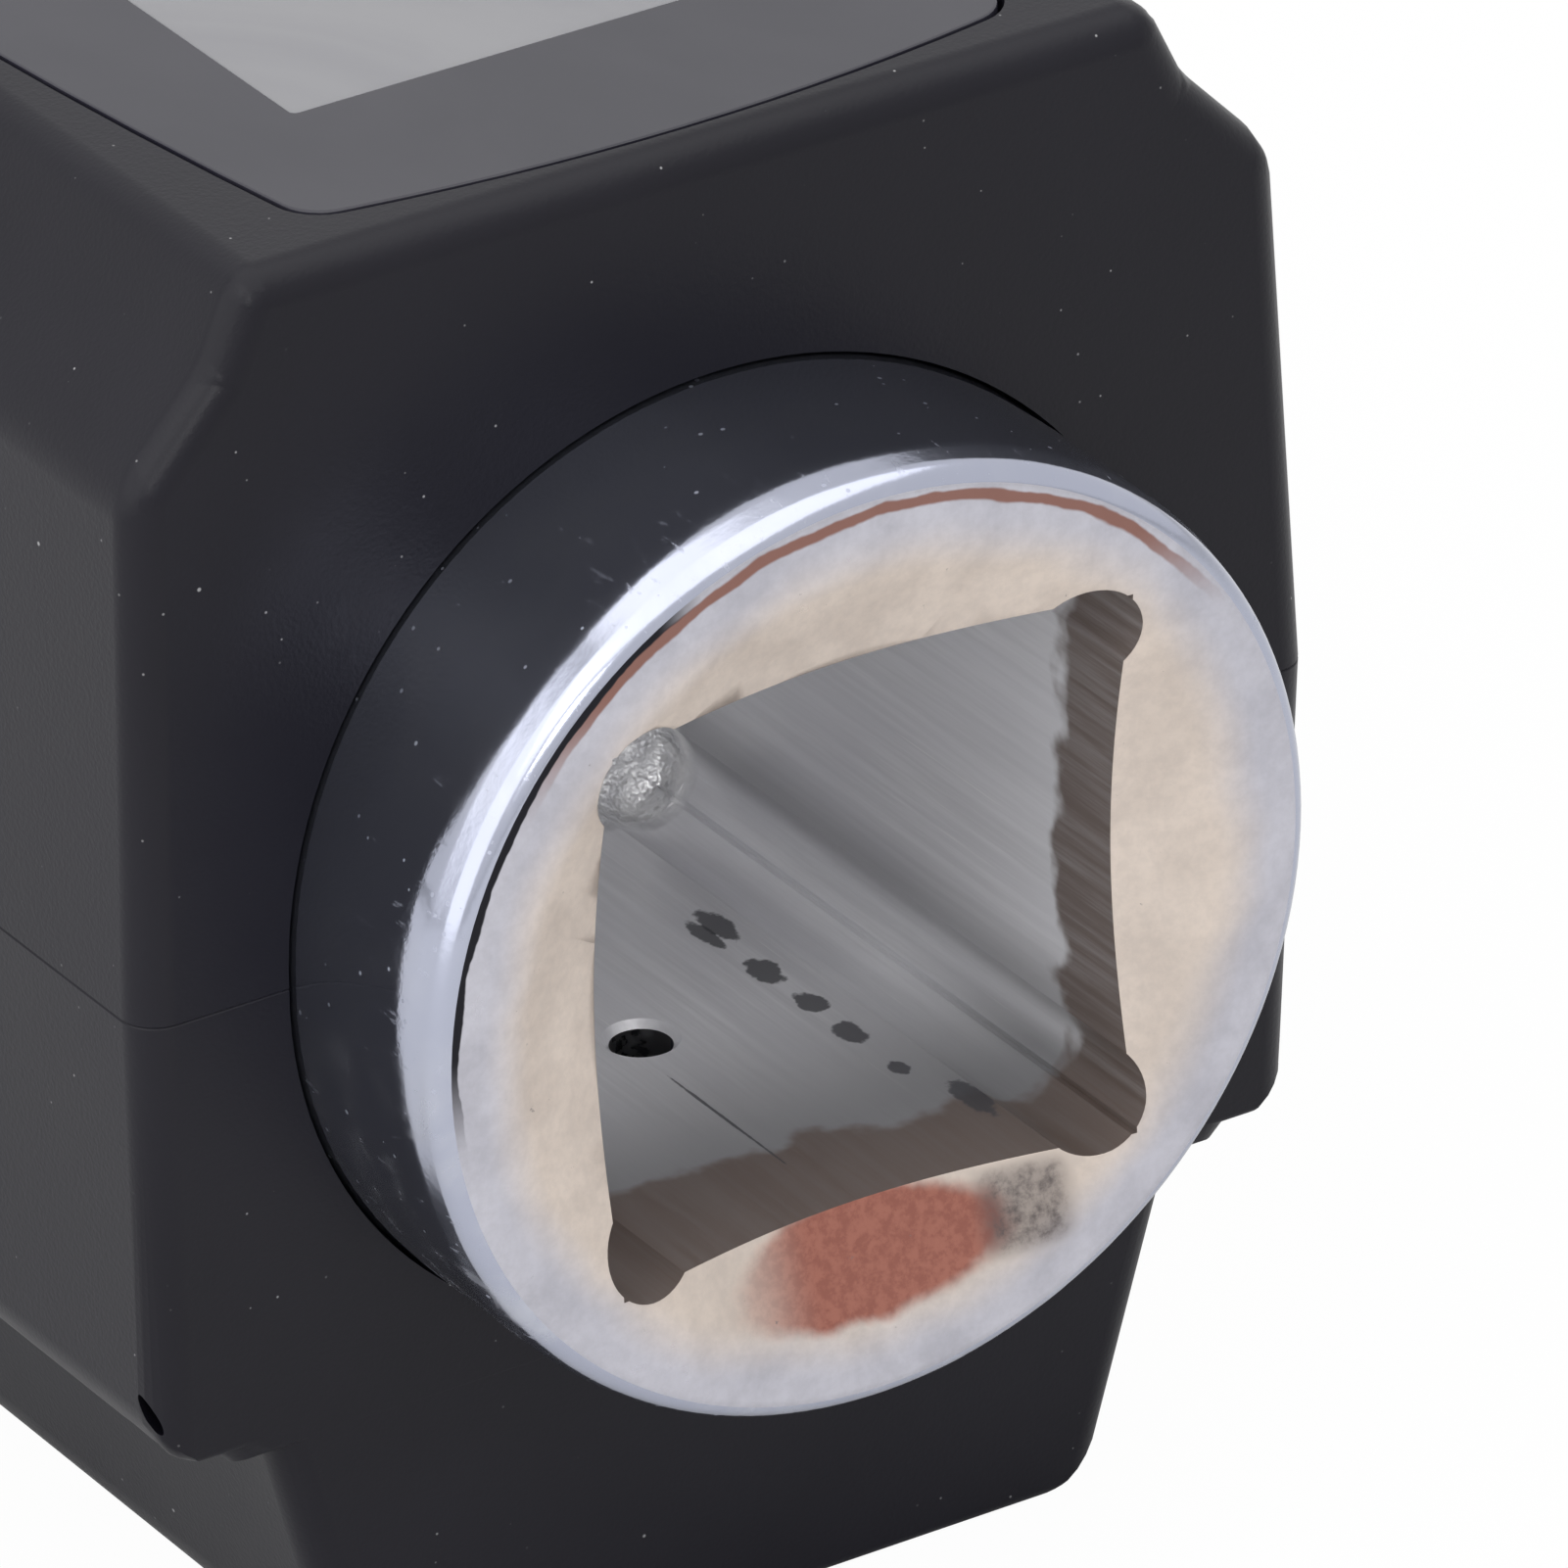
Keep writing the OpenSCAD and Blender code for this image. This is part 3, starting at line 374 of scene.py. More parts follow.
class Finish:
    """A procedural material: a shader and the nodes that feed it"""

    def __init__(self, name, colour, roughness, metallic=0.0, specular=0.5, **sockets):
        self.material = bpy.data.materials.new(name)
        self.material.use_nodes = True
        self.nodes = self.material.node_tree.nodes
        self.links = self.material.node_tree.links
        self.shader = self.nodes["Principled BSDF"]
        self.put(self.shader, "Base Color", (*colour, 1))
        self.put(self.shader, "Roughness", roughness)
        self.put(self.shader, "Metallic", metallic)
        self.put(self.shader, "Specular IOR Level", specular)
        for socket, value in sockets.items():
            self.put(self.shader, socket.replace("_", " "), value)
        self.place = self.nodes.new("ShaderNodeTexCoord").outputs["Object"]

    def put(self, node, socket, value):
        if isinstance(value, bpy.types.NodeSocket):
            self.links.new(value, node.inputs[socket])
        else:
            node.inputs[socket].default_value = value

    def stretched(self, scale, shift=(0, 0, 0)):
        node = self.nodes.new("ShaderNodeMapping")
        self.put(node, "Vector", self.place)
        self.put(node, "Scale", scale)
        self.put(node, "Location", shift)
        return node.outputs["Vector"]

    def noise(self, per_mm, detail=2.0, roughness=0.5, scale=None, shift=(0, 0, 0), warp=0.0):
        node = self.nodes.new("ShaderNodeTexNoise")
        if scale or any(shift):
            self.put(node, "Vector", self.stretched(scale or (1, 1, 1), shift))
        else:
            self.put(node, "Vector", self.place)
        self.put(node, "Scale", per_mm / MM)
        self.put(node, "Detail", detail)
        self.put(node, "Roughness", roughness)
        self.put(node, "Distortion", warp)
        return node.outputs["Fac"]

    def cells(self, per_mm):
        node = self.nodes.new("ShaderNodeTexVoronoi")
        self.put(node, "Vector", self.place)
        self.put(node, "Scale", per_mm / MM)
        return node.outputs["Distance"]

    def maths(self, operation, a, b=0.0):
        node = self.nodes.new("ShaderNodeMath")
        node.operation = operation
        self.put(node, 0, a)
        self.put(node, 1, b)
        return node.outputs[0]

    def plus(self, a, b):
        return self.maths("ADD", a, b)

    def times(self, a, b):
        return self.maths("MULTIPLY", a, b)

    def squares(self, a, b):
        """The sum of two squares"""
        return self.plus(self.times(a, a), self.times(b, b))

    def axes(self):
        """The place on the object in millimetres, as three values"""
        node = self.nodes.new("ShaderNodeSeparateXYZ")
        self.put(node, "Vector", self.place)
        return [self.times(node.outputs[i], 1 / MM) for i in range(3)]

    def step(self, value, low, high, start=0.0, end=1.0):
        """A soft step from start to end as the value goes from low to high"""
        node = self.nodes.new("ShaderNodeMapRange")
        node.interpolation_type = "SMOOTHSTEP"
        for socket, number in (("Value", value), ("From Min", low), ("From Max", high),
                               ("To Min", start), ("To Max", end)):
            self.put(node, socket, number)
        return node.outputs["Result"]

    def mix(self, share, a, b):
        """Colour a where the share is 0, colour b where it is 1"""
        input_a, input_b, output = 6, 7, 2
        node = self.nodes.new("ShaderNodeMix")
        node.data_type = "RGBA"
        self.links.new(share, node.inputs["Factor"])
        for socket, colour in ((input_a, a), (input_b, b)):
            if isinstance(colour, bpy.types.NodeSocket):
                self.links.new(colour, node.inputs[socket])
            else:
                node.inputs[socket].default_value = (*colour, 1)
        return node.outputs[output]

    def colour(self, value):
        self.links.new(value, self.shader.inputs["Base Color"])

    def roughness(self, value):
        self.links.new(value, self.shader.inputs["Roughness"])

    def bump(self, height, depth):
        """Relief whose full depth is given in millimetres"""
        node = self.nodes.new("ShaderNodeBump")
        self.put(node, "Height", height)
        self.put(node, "Distance", depth * MM)
        self.put(node, "Strength", 1.0)
        if self.shader.inputs["Normal"].is_linked:
            self.put(node, "Normal", self.shader.inputs["Normal"].links[0].from_socket)
        self.links.new(node.outputs["Normal"], self.shader.inputs["Normal"])


def moulded(name, colour, roughness, specular=0.3, dust=0.0, grain=6.0):
    """Moulded plastic with a fine spark texture, soft blotches and a little dust"""
    finish = Finish(name, colour, roughness, specular=specular)
    blotch = finish.noise(0.07, 3.0, 0.45)
    lighter = tuple(1.2 * part + 0.001 for part in colour)
    shade = finish.mix(finish.step(blotch, 0.35, 0.7), colour, lighter)
    if dust:
        few = finish.step(finish.cells(0.25), 0.012, 0.022, 1.0, 0.0)
        many = finish.step(finish.cells(1.1), 0.035, 0.06, 1.0, 0.0)
        some = finish.step(finish.noise(0.3, 2.0, shift=(0.3, 0.1, 0.2)), 0.46, 0.66)
        specks = finish.maths("MAXIMUM", few, finish.times(many, some))
        dust_grey = (0.42, 0.42, 0.43)
        shade = finish.mix(finish.times(specks, dust), shade, dust_grey)
    finish.colour(shade)
    fine = finish.noise(grain, 2.0)
    finish.roughness(finish.step(blotch, 0.25, 0.75, roughness - 0.03, roughness + 0.04))
    finish.bump(fine, 0.01)
    return finish.material


def plain_metal(name, colour, roughness, scratches=(1, 1, 1), depth=0.004):
    """Metal with fine scratches stretched along one way"""
    finish = Finish(name, colour, roughness, metallic=1.0)
    lines = finish.noise(3.0, 3.0, scale=scratches)
    patches = finish.noise(0.4, 3.0)
    darker = tuple(0.8 * part for part in colour)
    finish.colour(finish.mix(finish.step(patches, 0.3, 0.75), colour, darker))
    finish.roughness(finish.step(lines, 0.25, 0.75, roughness * 0.75, roughness * 1.4))
    finish.bump(lines, depth)
    return finish.material


def chrome_finish():
    """Polished chrome with a slightly uneven surface, fine scratches and smudges"""
    finish = Finish("polished chrome", (0.6, 0.63, 0.7), 0.1, metallic=1.0)
    x, y, z = finish.axes()
    haze = finish.step(finish.noise(0.28, 5.0, 0.62, warp=0.4), 0.44, 0.72)
    # More smudges at the lower left of the head
    low = finish.step(finish.plus(z, finish.times(x, 0.45)), -15.0, -3.0, 1.0, 0.25)
    smear = finish.times(haze, low)
    shade = finish.mix(smear, (0.4, 0.42, 0.51), (0.5, 0.515, 0.58))
    # The male end is duller than the head
    finish.colour(finish.mix(finish.step(y, 60.0, 66.0), shade, (0.33, 0.34, 0.36)))
    finish.put(finish.shader, "Metallic", 0.973)
    scratch = finish.step(finish.noise(2.2, 4.0, 0.7, scale=(1, 0.25, 1)), 0.6, 0.72)
    speck = finish.step(finish.cells(0.9), 0.05, 0.09, 1.0, 0.0)
    worn = finish.plus(finish.times(scratch, 0.2), finish.times(speck, 0.4))
    mouth = finish.step(y, 0.8, 2.6, 0.12, 0.0)
    worn = finish.plus(worn, mouth)
    finish.roughness(finish.plus(finish.step(smear, 0.0, 1.0, 0.05, 0.3), worn))
    finish.bump(finish.noise(0.22, 2.0), 0.05)
    finish.bump(finish.noise(1.6, 4.0, 0.6), 0.006)
    return finish.material


def face_finish():
    """Ring and lead-in cone of the drive's mouth: etched grey plating, warm beige and brown inside"""
    finish = Finish("plated face", (0.6, 0.6, 0.66), 0.3, metallic=1.0)
    x, _, z = finish.axes()
    radius = finish.maths("SQRT", finish.squares(x, z))
    wander = finish.noise(0.16, 3.0, warp=0.5)
    place = finish.plus(radius, finish.times(wander, 1.6))
    broad = finish.noise(0.3, 4.0, 0.6, warp=0.3)
    fine = finish.noise(2.2, 6.0, 0.7)
    ring = finish.mix(finish.step(broad, 0.35, 0.7), (0.53, 0.525, 0.58), (0.45, 0.445, 0.495))
    cone = finish.mix(finish.step(broad, 0.35, 0.7), (0.66, 0.575, 0.51), (0.58, 0.505, 0.45))
    shade = finish.mix(finish.step(place, 13.5, 15.7), cone, ring)
    shade = finish.mix(finish.step(fine, 0.35, 0.65, 0.0, 0.12), shade, (0.2, 0.19, 0.2))
    # Brown at the foot of the cone, with a dark smudge at its right end
    foot_x = finish.times(finish.plus(x, 0.3), 0.165)
    foot_z = finish.times(finish.plus(z, 11.4), 0.46)
    foot = finish.maths("SQRT", finish.squares(foot_x, foot_z))
    ragged = finish.plus(foot, finish.times(broad, 0.5))
    foot_brown = finish.mix(finish.step(fine, 0.4, 0.6), (0.36, 0.15, 0.115), (0.29, 0.115, 0.09))
    fade = finish.step(x, -5.5, -2.0, 0.3, 1.0)
    foot_brown_share = finish.times(finish.step(ragged, 1.0, 1.25, 1.0, 0.0), fade)
    shade = finish.mix(foot_brown_share, shade, foot_brown)
    aside = finish.maths("ABSOLUTE", finish.maths("SUBTRACT", x, 5.6))
    above = finish.maths("ABSOLUTE", finish.plus(z, 11.2))
    smudge = finish.step(aside, 0.9, 2.0, 1.0, 0.0)
    smudge = finish.times(smudge, finish.step(above, 0.9, 1.7, 1.0, 0.0))
    smudge = finish.times(smudge, finish.step(fine, 0.3, 0.65, 0.95, 0.5))
    shade = finish.mix(smudge, shade, (0.11, 0.095, 0.095))
    spots = finish.step(finish.noise(1.4, 6.0, 0.75, shift=(0.01, 0, 0.02)), 0.67, 0.72)
    shade = finish.mix(finish.times(spots, 0.8), shade, (0.2, 0.18, 0.18))
    # Copper showing along the upper rim, and a dark line beside the chrome at the left
    waver = finish.plus(radius, finish.times(finish.noise(0.5, 3.0), 0.5))
    upper = finish.step(z, 8.0, 12.0, 0.0, 0.95)
    outer = finish.step(waver, 15.76, 15.86, 1.0, 0.0)
    band = finish.times(finish.step(waver, 15.36, 15.48), outer)
    shade = finish.mix(finish.times(band, upper), shade, (0.24, 0.115, 0.09))
    left = finish.times(finish.step(x, -8.0, -6.0, 1.0, 0.0), finish.step(z, -3.0, 1.0))
    line = finish.times(finish.step(waver, 15.74, 15.8), left)
    shade = finish.mix(line, shade, (0.02, 0.02, 0.024))
    finish.colour(shade)
    finish.roughness(finish.step(broad, 0.3, 0.7, 0.27, 0.4))
    finish.bump(broad, 0.012)
    finish.bump(fine, 0.008)
    return finish.material


def socket_finish():
    """Walls of the square: broached steel with lines along its depth, a brown band behind the mouth and
    painted shade
    """
    finish = Finish("broached steel", (0.5, 0.5, 0.52), 0.4, metallic=0.5, specular=0.4)
    x, y, z = finish.axes()
    lines = finish.noise(2.6, 5.0, 0.7, scale=(1, 0.03, 1))
    broad = finish.noise(0.35, 3.0, scale=(1, 0.3, 1))
    shade = finish.mix(finish.step(lines, 0.3, 0.72), (0.76, 0.76, 0.78), (0.9, 0.9, 0.92))
    shade = finish.mix(finish.step(broad, 0.35, 0.7, 0.0, 0.5), shade, (0.8, 0.8, 0.84))
    few = finish.noise(3.4, 3.0, 0.6, scale=(1, 0.02, 1), shift=(0.02, 0, 0.01))
    bright = finish.step(few, 0.68, 0.74)
    shade = finish.mix(finish.times(bright, 0.6), shade, (1.0, 1.0, 1.0))
    # Painted shade on the lower wall, darkest at the mouth and fading out by y = 15
    painted_shade_near_mouth = finish.times(finish.step(y, 5.0, 15.0, 1.0, 0.0), finish.step(z, -8.0, -9.3))
    shade = finish.mix(painted_shade_near_mouth, shade, (0.3, 0.3, 0.31))
    # Shade on the right wall, just above its lower relief
    shadow = finish.times(finish.step(z, -8.6, -7.4), finish.step(z, -7.0, -4.5, 0.6, 0.0))
    shadow = finish.times(shadow, finish.step(x, 8.0, 9.0))
    shade = finish.mix(shadow, shade, (0.3, 0.3, 0.31))
    # Brown band behind the mouth, wider towards the left of the lower wall
    edge = finish.noise(0.4, 3.0, 0.5)
    reach = finish.plus(y, finish.times(edge, -3.4))
    reach = finish.plus(reach, finish.times(x, 0.13))
    streaks = finish.step(lines, 0.35, 0.7, 0.97, 0.8)
    brown_band = finish.times(finish.step(reach, 3.6, 4.3, 1.0, 0.0), streaks)
    shade = finish.mix(brown_band, shade, (0.17, 0.13, 0.112))
    # Dark spots in a row on the lower wall, and one scratch
    ragged = finish.times(finish.noise(1.5, 3.0, 0.6), 1.9)
    for middle_x, middle_y, half_x, half_y in SPOTS:
        across = finish.times(finish.maths("SUBTRACT", x, middle_x), 1 / half_x)
        along = finish.times(finish.maths("SUBTRACT", y, middle_y), 1 / half_y)
        away = finish.plus(finish.squares(across, along), ragged)
        spot = finish.step(away, 1.6, 2.0, 0.85, 0.0)
        spot = finish.times(spot, finish.step(z, -9.2, -9.5))
        shade = finish.mix(spot, shade, (0.07, 0.07, 0.08))
    # Bright cast end of the square
    walls_end, floor_start = 26.4, 27.4
    end = finish.step(y, walls_end, floor_start)
    cast = finish.noise(0.5, 4.0, 0.6)
    cast_shade = finish.mix(finish.step(cast, 0.35, 0.65), (1, 1, 1), (0.75, 0.75, 0.77))
    shade = finish.mix(end, shade, cast_shade)
    finish.colour(shade)
    finish.roughness(finish.step(lines, 0.3, 0.7, 0.28, 0.45))
    finish.bump(lines, 0.012)
    finish.bump(finish.times(cast, end), 0.9)
    finish.put(finish.shader, "Metallic", finish.step(y, walls_end, floor_start, 0.5, 0.7))
    return finish.material


def panel_finish():
    """Glossy display panel, printed dark grey, with faint smears"""
    finish = Finish("panel print", (0.02, 0.0195, 0.028), 0.2, specular=0.42, Coat_Weight=0.05,
                    Coat_Roughness=0.08)
    smear = finish.noise(0.08, 4.0, 0.6, scale=(1, 0.4, 1), warp=0.6)
    dark, light = (0.016, 0.0155, 0.024), (0.024, 0.023, 0.032)
    finish.colour(finish.mix(finish.step(smear, 0.35, 0.7), dark, light))
    finish.roughness(finish.step(smear, 0.3, 0.75, 0.18, 0.26))
    finish.bump(finish.noise(0.6, 3.0), 0.002)
    return finish.material


def window_finish():
    """Grey display window: half clear, with an even matt hard coat"""
    finish = Finish("window", (0.26, 0.26, 0.28), 0.16, specular=0.5, Transmission_Weight=0.35,
                    IOR=1.49)
    smear = finish.noise(0.06, 4.0, 0.6, warp=0.8)
    finish.colour(finish.mix(finish.step(smear, 0.35, 0.72), (0.26, 0.26, 0.28), (0.3, 0.3, 0.315)))
    finish.roughness(finish.step(smear, 0.3, 0.7, 0.14, 0.22))
    return finish.material


def cell_finish():
    """Printed foil jacket of a cell, dark blue and a little worn"""
    finish = Finish("cell jacket", (0.1, 0.16, 0.2), 0.32, specular=0.5)
    wear = finish.noise(0.6, 4.0, 0.6)
    shade = finish.mix(finish.step(wear, 0.35, 0.75), (0.05, 0.09, 0.12), (0.08, 0.13, 0.17))
    finish.colour(shade)
    finish.roughness(finish.step(wear, 0.3, 0.7, 0.26, 0.42))
    finish.bump(finish.noise(0.9, 3.0, scale=(1, 0.3, 1)), 0.01)
    return finish.material


def board_finish():
    """Circuit board: green mask with tracks as fine raised lines and tinned pads"""
    finish = Finish("board mask", (0.01, 0.09, 0.035), 0.38, specular=0.5)
    tracks = finish.noise(0.5, 1.0, scale=(1, 0.15, 1))
    cross = finish.noise(0.5, 1.0, scale=(0.15, 1, 1), shift=(0.01, 0.02, 0))
    waves = finish.maths("PINGPONG", finish.plus(tracks, cross), 0.03)
    line = finish.step(waves, 0.012, 0.016)
    shade = finish.mix(line, (0.008, 0.07, 0.028), (0.02, 0.14, 0.05))
    pads = finish.step(finish.cells(0.35), 0.12, 0.14, 1.0, 0.0)
    finish.colour(finish.mix(pads, shade, (0.55, 0.55, 0.52)))
    finish.bump(line, 0.03)
    return finish.material


def lcd_finish():
    """Grey of the display while it is off"""
    finish = Finish("lcd grey", (0.36, 0.38, 0.36), 0.25, specular=0.5)
    haze = finish.noise(0.1, 3.0)
    finish.colour(finish.mix(finish.step(haze, 0.3, 0.7), (0.34, 0.36, 0.34), (0.4, 0.42, 0.4)))
    return finish.material


housing_plastic = moulded("satin housing plastic", (0.0056, 0.0052, 0.0088), 0.36, 0.2, dust=0.6)
lower_plastic = moulded("satin base plastic", (0.0056, 0.0052, 0.0088), 0.37, 0.2, dust=0.6)
button_plastic = moulded("button plastic", (0.05, 0.05, 0.055), 0.4, specular=0.4, grain=8)
white_plastic = moulded("white moulded plastic", (0.72, 0.72, 0.7), 0.35, specular=0.5, grain=3)
print_white = moulded("printed mark", (0.7, 0.7, 0.7), 0.5, specular=0.4, grain=10)
chip_plastic = moulded("chip plastic", (0.02, 0.02, 0.022), 0.5, grain=9)
cover_plastic = moulded("gauge cover rubber", (0.02, 0.02, 0.02), 0.62, grain=3)
plug_plastic = moulded("plug plastic", (0.66, 0.62, 0.5), 0.4, specular=0.5, grain=4)
glue = moulded("adhesive film", (0.25, 0.25, 0.24), 0.7, grain=2)
part_ceramic = moulded("ceramic parts", (0.42, 0.33, 0.22), 0.45, specular=0.5, grain=6)
wire_red = moulded("red wire sleeve", (0.5, 0.02, 0.015), 0.42, specular=0.5, grain=5)
wire_black = moulded("black wire sleeve", (0.015, 0.015, 0.015), 0.42, specular=0.5, grain=5)
strip_rubber = moulded("contact strip rubber", (0.5, 0.16, 0.2), 0.5, grain=2)
lens_red = moulded("red lens", (0.45, 0.02, 0.015), 0.12, specular=0.5, grain=1)
chrome = chrome_finish()
plated_face = face_finish()
broached = socket_finish()
ground_steel = plain_metal("ground steel", (0.5, 0.5, 0.52), 0.3, scratches=(1, 0.08, 1))
ball_steel = plain_metal("ball steel", (0.66, 0.66, 0.68), 0.1, depth=0.001)
spring_steel = plain_metal("spring steel", (0.5, 0.49, 0.47), 0.28)
screw_steel = plain_metal("blackened screw steel", (0.09, 0.09, 0.1), 0.34)
contact_plate = plain_metal("nickel contact", (0.64, 0.62, 0.57), 0.24, scratches=(0.1, 1, 1))
gauge_foil = plain_metal("gauge foil", (0.62, 0.4, 0.18), 0.34, scratches=(1, 0.05, 1), depth=0.02)
cell_jacket = cell_finish()
panel_print = panel_finish()
window_tint = window_finish()
board_green = board_finish()
lcd_grey = lcd_finish()


# Housing shells

def half_body(half, radii, flat=0.0, inset=0.0):
    """A solid part of the housing, flat at one height, with its outer edges rounded in one pass"""
    outline = mirrored(half)
    rounding = radii + radii[::-1]
    shape = bar(outline, FRONT_Y + inset, REAR_Y - inset)
    for vert in shape.verts:
        slope = abs(vert.co.z) * END_SLOPE
        vert.co.y += slope if vert.co.y < MID_Y else -slope
    weight = shape.edges.layers.float.new("bevel_weight_edge")
    # The bevel of each corner of the outline, from its radius and its angle
    offsets = []
    for i, (x, z) in enumerate(outline):
        before = Vector(outline[i - 1]) - Vector((x, z))
        after = Vector(outline[(i + 1) % len(outline)]) - Vector((x, z))
        offsets.append(rounding[i] * math.tan((math.pi - before.angle(after)) / 2))
    widths = {}
    for edge in shape.edges:
        a, b = [vert.co for vert in edge.verts]
        if abs(a.z - flat) < SAME and abs(b.z - flat) < SAME:
            continue
        if abs(a.y - b.y) > REAR_Y / 2:
            nearest = min(range(len(outline)), key=lambda i: math.dist(outline[i], (a.x, a.z)))
            widths[edge] = offsets[nearest]
        elif a.z < 0 and abs(a.z - b.z) < SAME:
            widths[edge] = LOW_END_R
        else:
            widths[edge] = END_R
    widest = max(widths.values())
    for edge, width in widths.items():
        edge[weight] = width / widest
    work = working("housing half", shape)
    bevel = work.modifiers.new("rounding", "BEVEL")
    bevel.limit_method = "WEIGHT"
    bevel.width = widest
    bevel.segments = 6
    bevel.use_clamp_overlap = False
    shape = released(work)
    if flat == 0.0:
        soften(shape, rim_edges(shape, 0.0), SEAM_R, 1)
    return shape


def hump():
    return half_body(HUMP, HUMP_R, HUMP_TOP, 0.02)


def lower_body():
    """The wide block, with the narrower battery hump under it"""
    return joined(half_body(BLOCK, BLOCK_R), hump())


def drive_room():
    """Room of the drive body in both shells, a little wider than the body"""
    points = [(7, 0), (7, 16.63), (12, 16.63), (12, 15.65), (65.7, 15.65), (65.7, 11.25),
              (67.8, 11.25), (67.8, 14.74), (82, 14.74), (82, 0)]
    return lathe(points, steps=128)


def cavity(outline, keys):
    """Room inside a shell between its ribs, with the screw posts and keys left standing"""
    spans = [(INNER_FRONT, 12.25), (14.25, 65.75), (67.75, INNER_REAR)]
    room = together(*[bar(outline, front, rear) for front, rear in spans])
    posts = [rod((x, y, -17), (x, y, 9), 2.8) for x, y in SCREWS]
    stops = [block((13.4, 70.1, keys[0]), (21, 73.9, keys[1])),
             block((-21, 70.1, keys[0]), (-13.4, 73.9, keys[1]))]
    return cut(room, *posts, *stops)


def bowed_slab(half_x, half_y, r, low, high, flare=0.0):
    """Panel outline: a rectangle with bowed sides and rounded corners"""
    bow_x, bow_y = 2.7, 1.3
    cx, cy = half_x - bow_x, half_y - bow_y
    shape = polygon([(-cx, -cy, low), (cx, -cy, low), (cx, cy, low), (-cx, cy, low)])
    bmesh.ops.subdivide_edges(shape, edges=shape.edges[:], cuts=15)
    for vert in shape.verts:
        x, y = vert.co.x, vert.co.y
        if abs(abs(x) - cx) < SAME:
            vert.co.x += math.copysign(bow_x * (1 - (y / cy) ** 2), x)
        if abs(abs(y) - cy) < SAME:
            vert.co.y += math.copysign(bow_y * (1 - (x / cx) ** 2), y)
    corners = [vert for vert in shape.verts
               if abs(abs(vert.co.x) - cx) < SAME and abs(abs(vert.co.y) - cy) < SAME]
    round_corners(shape, corners, r * 0.69)
    moved(shape, (0, MID_Y, 0))
    pull(shape, (0, 0, high - low))
    if flare:
        soften(shape, rim_edges(shape, high), flare, 2)
    return shape


def button_outline(name, grow, low, high):
    return rounded_slab(8.4 + 2 * grow, 6.4 + 2 * grow, 1.8 + grow, low, high, BUTTONS[name])


def upper_housing():
    inner = [(20, -1), (20, 0), (19.378, 17.366), (16.525, 20.343), (15.85, 21.8)]
    room = cavity(mirrored(inner), (0, 6))
    board_posts = [rod((x, y, 18), (x, y, 23), 2.1) for x, y in BOARD_SCREWS]
    room = cut(room, *board_posts)
    openings = [rounded_slab(16.8, 27.6, 0.4, 20, 25, (0, WINDOW_MID)),
                rod((0, LENS_Y, 20), (0, LENS_Y, 25), LENS_HOLE_R, steps=32)]
    openings += [button_outline(name, BUTTON_GAP, 20, 25) for name in BUTTONS]
    holes = [rod((x, y, -1), (x, y, 6), SCREW_HOLE_R, steps=32) for x, y in SCREWS]
    recess = bowed_slab(15.88, 33.78, 1.78, 23.05, 26)
    shape = cut(half_body(UPPER, UPPER_R), room, drive_room(), recess, *openings, *holes)
    return finished("upper_housing", shape, "housing", housing_plastic,
                    ["upper_shell"], smooth=24)


def breakout(x, y):
    """Slit where a screw's counterbore just breaks out of the rounded corner beside it"""
    side, end = math.copysign(1, x), math.copysign(1, y - MID_Y)
    along = Vector((-0.5 * side, 0.42 * end, -1)).normalized()
    out = Vector((0.75 * side, 0.66 * end, 0))
    out = (out - along * out.dot(along)).normalized()
    across = along.cross(out)
    turn = Matrix((across, out, along)).transposed().to_4x4()
    place = turn @ Matrix.Diagonal((*SLIT_SIZE, 1))
    shape = globe((0, 0, 0), 1)
    bmesh.ops.transform(shape, verts=shape.verts[:], matrix=place)
    bmesh.ops.recalc_face_normals(shape, faces=shape.faces[:])
    return moved(shape, (x + SLIT_X * side, y + SLIT_Y * end, SLIT_Z))


def lower_housing():
    room = cavity(mirrored([(19.5, -14.6), (20, 0), (20, 1)]), (-6, 0))
    bays = [rod((side * CELL_X, BAY_FRONT, CELL_Z), (side * CELL_X, BAY_REAR, CELL_Z), BAY_R)
            for side in (-1, 1)]
    # The opening to the cells, a pocket in each end of the hump, and the door's bed and rails
    tools = [
        block((-DOOR_X, 19.21, -30), (DOOR_X, 69.19, CELL_Z + 0.37)),
        block((-POCKET_X, INNER_FRONT, POCKET_BASE), (POCKET_X, 16.8, -14)),
        block((-POCKET_X, 71.6, POCKET_BASE), (POCKET_X, INNER_REAR, -14)),
        block((-DOOR_X, DOOR_FRONT, -30), (DOOR_X, 82, RAIL_TOP)),
        block((-RAIL_X, DOOR_FRONT, RAIL_BASE), (RAIL_X, 82, RAIL_TOP)),
    ]
    # Slots for the contact tabs, then the counterbores, screw holes and slits
    tools += [block((side * 10.3 - 0.9, 19.23, CELL_Z + 0.9), (side * 10.3 + 0.9, 19.7, -13.6))
              for side in (-1, 1)]
    tools += [rod((x, y, -17.4), (x, y, -9), 1.95) for x, y in SCREWS]
    tools += [rod((x, y, -17), (x, y, 1), SCREW_HOLE_R, steps=32) for x, y in SCREWS]
    tools += [breakout(x, y) for x, y in SCREWS]
    shape = cut(lower_body(), room, drive_room(), *bays, *tools)
    return finished("lower_housing", shape, "housing", lower_plastic,
                    ["lower_shell"], smooth=24)


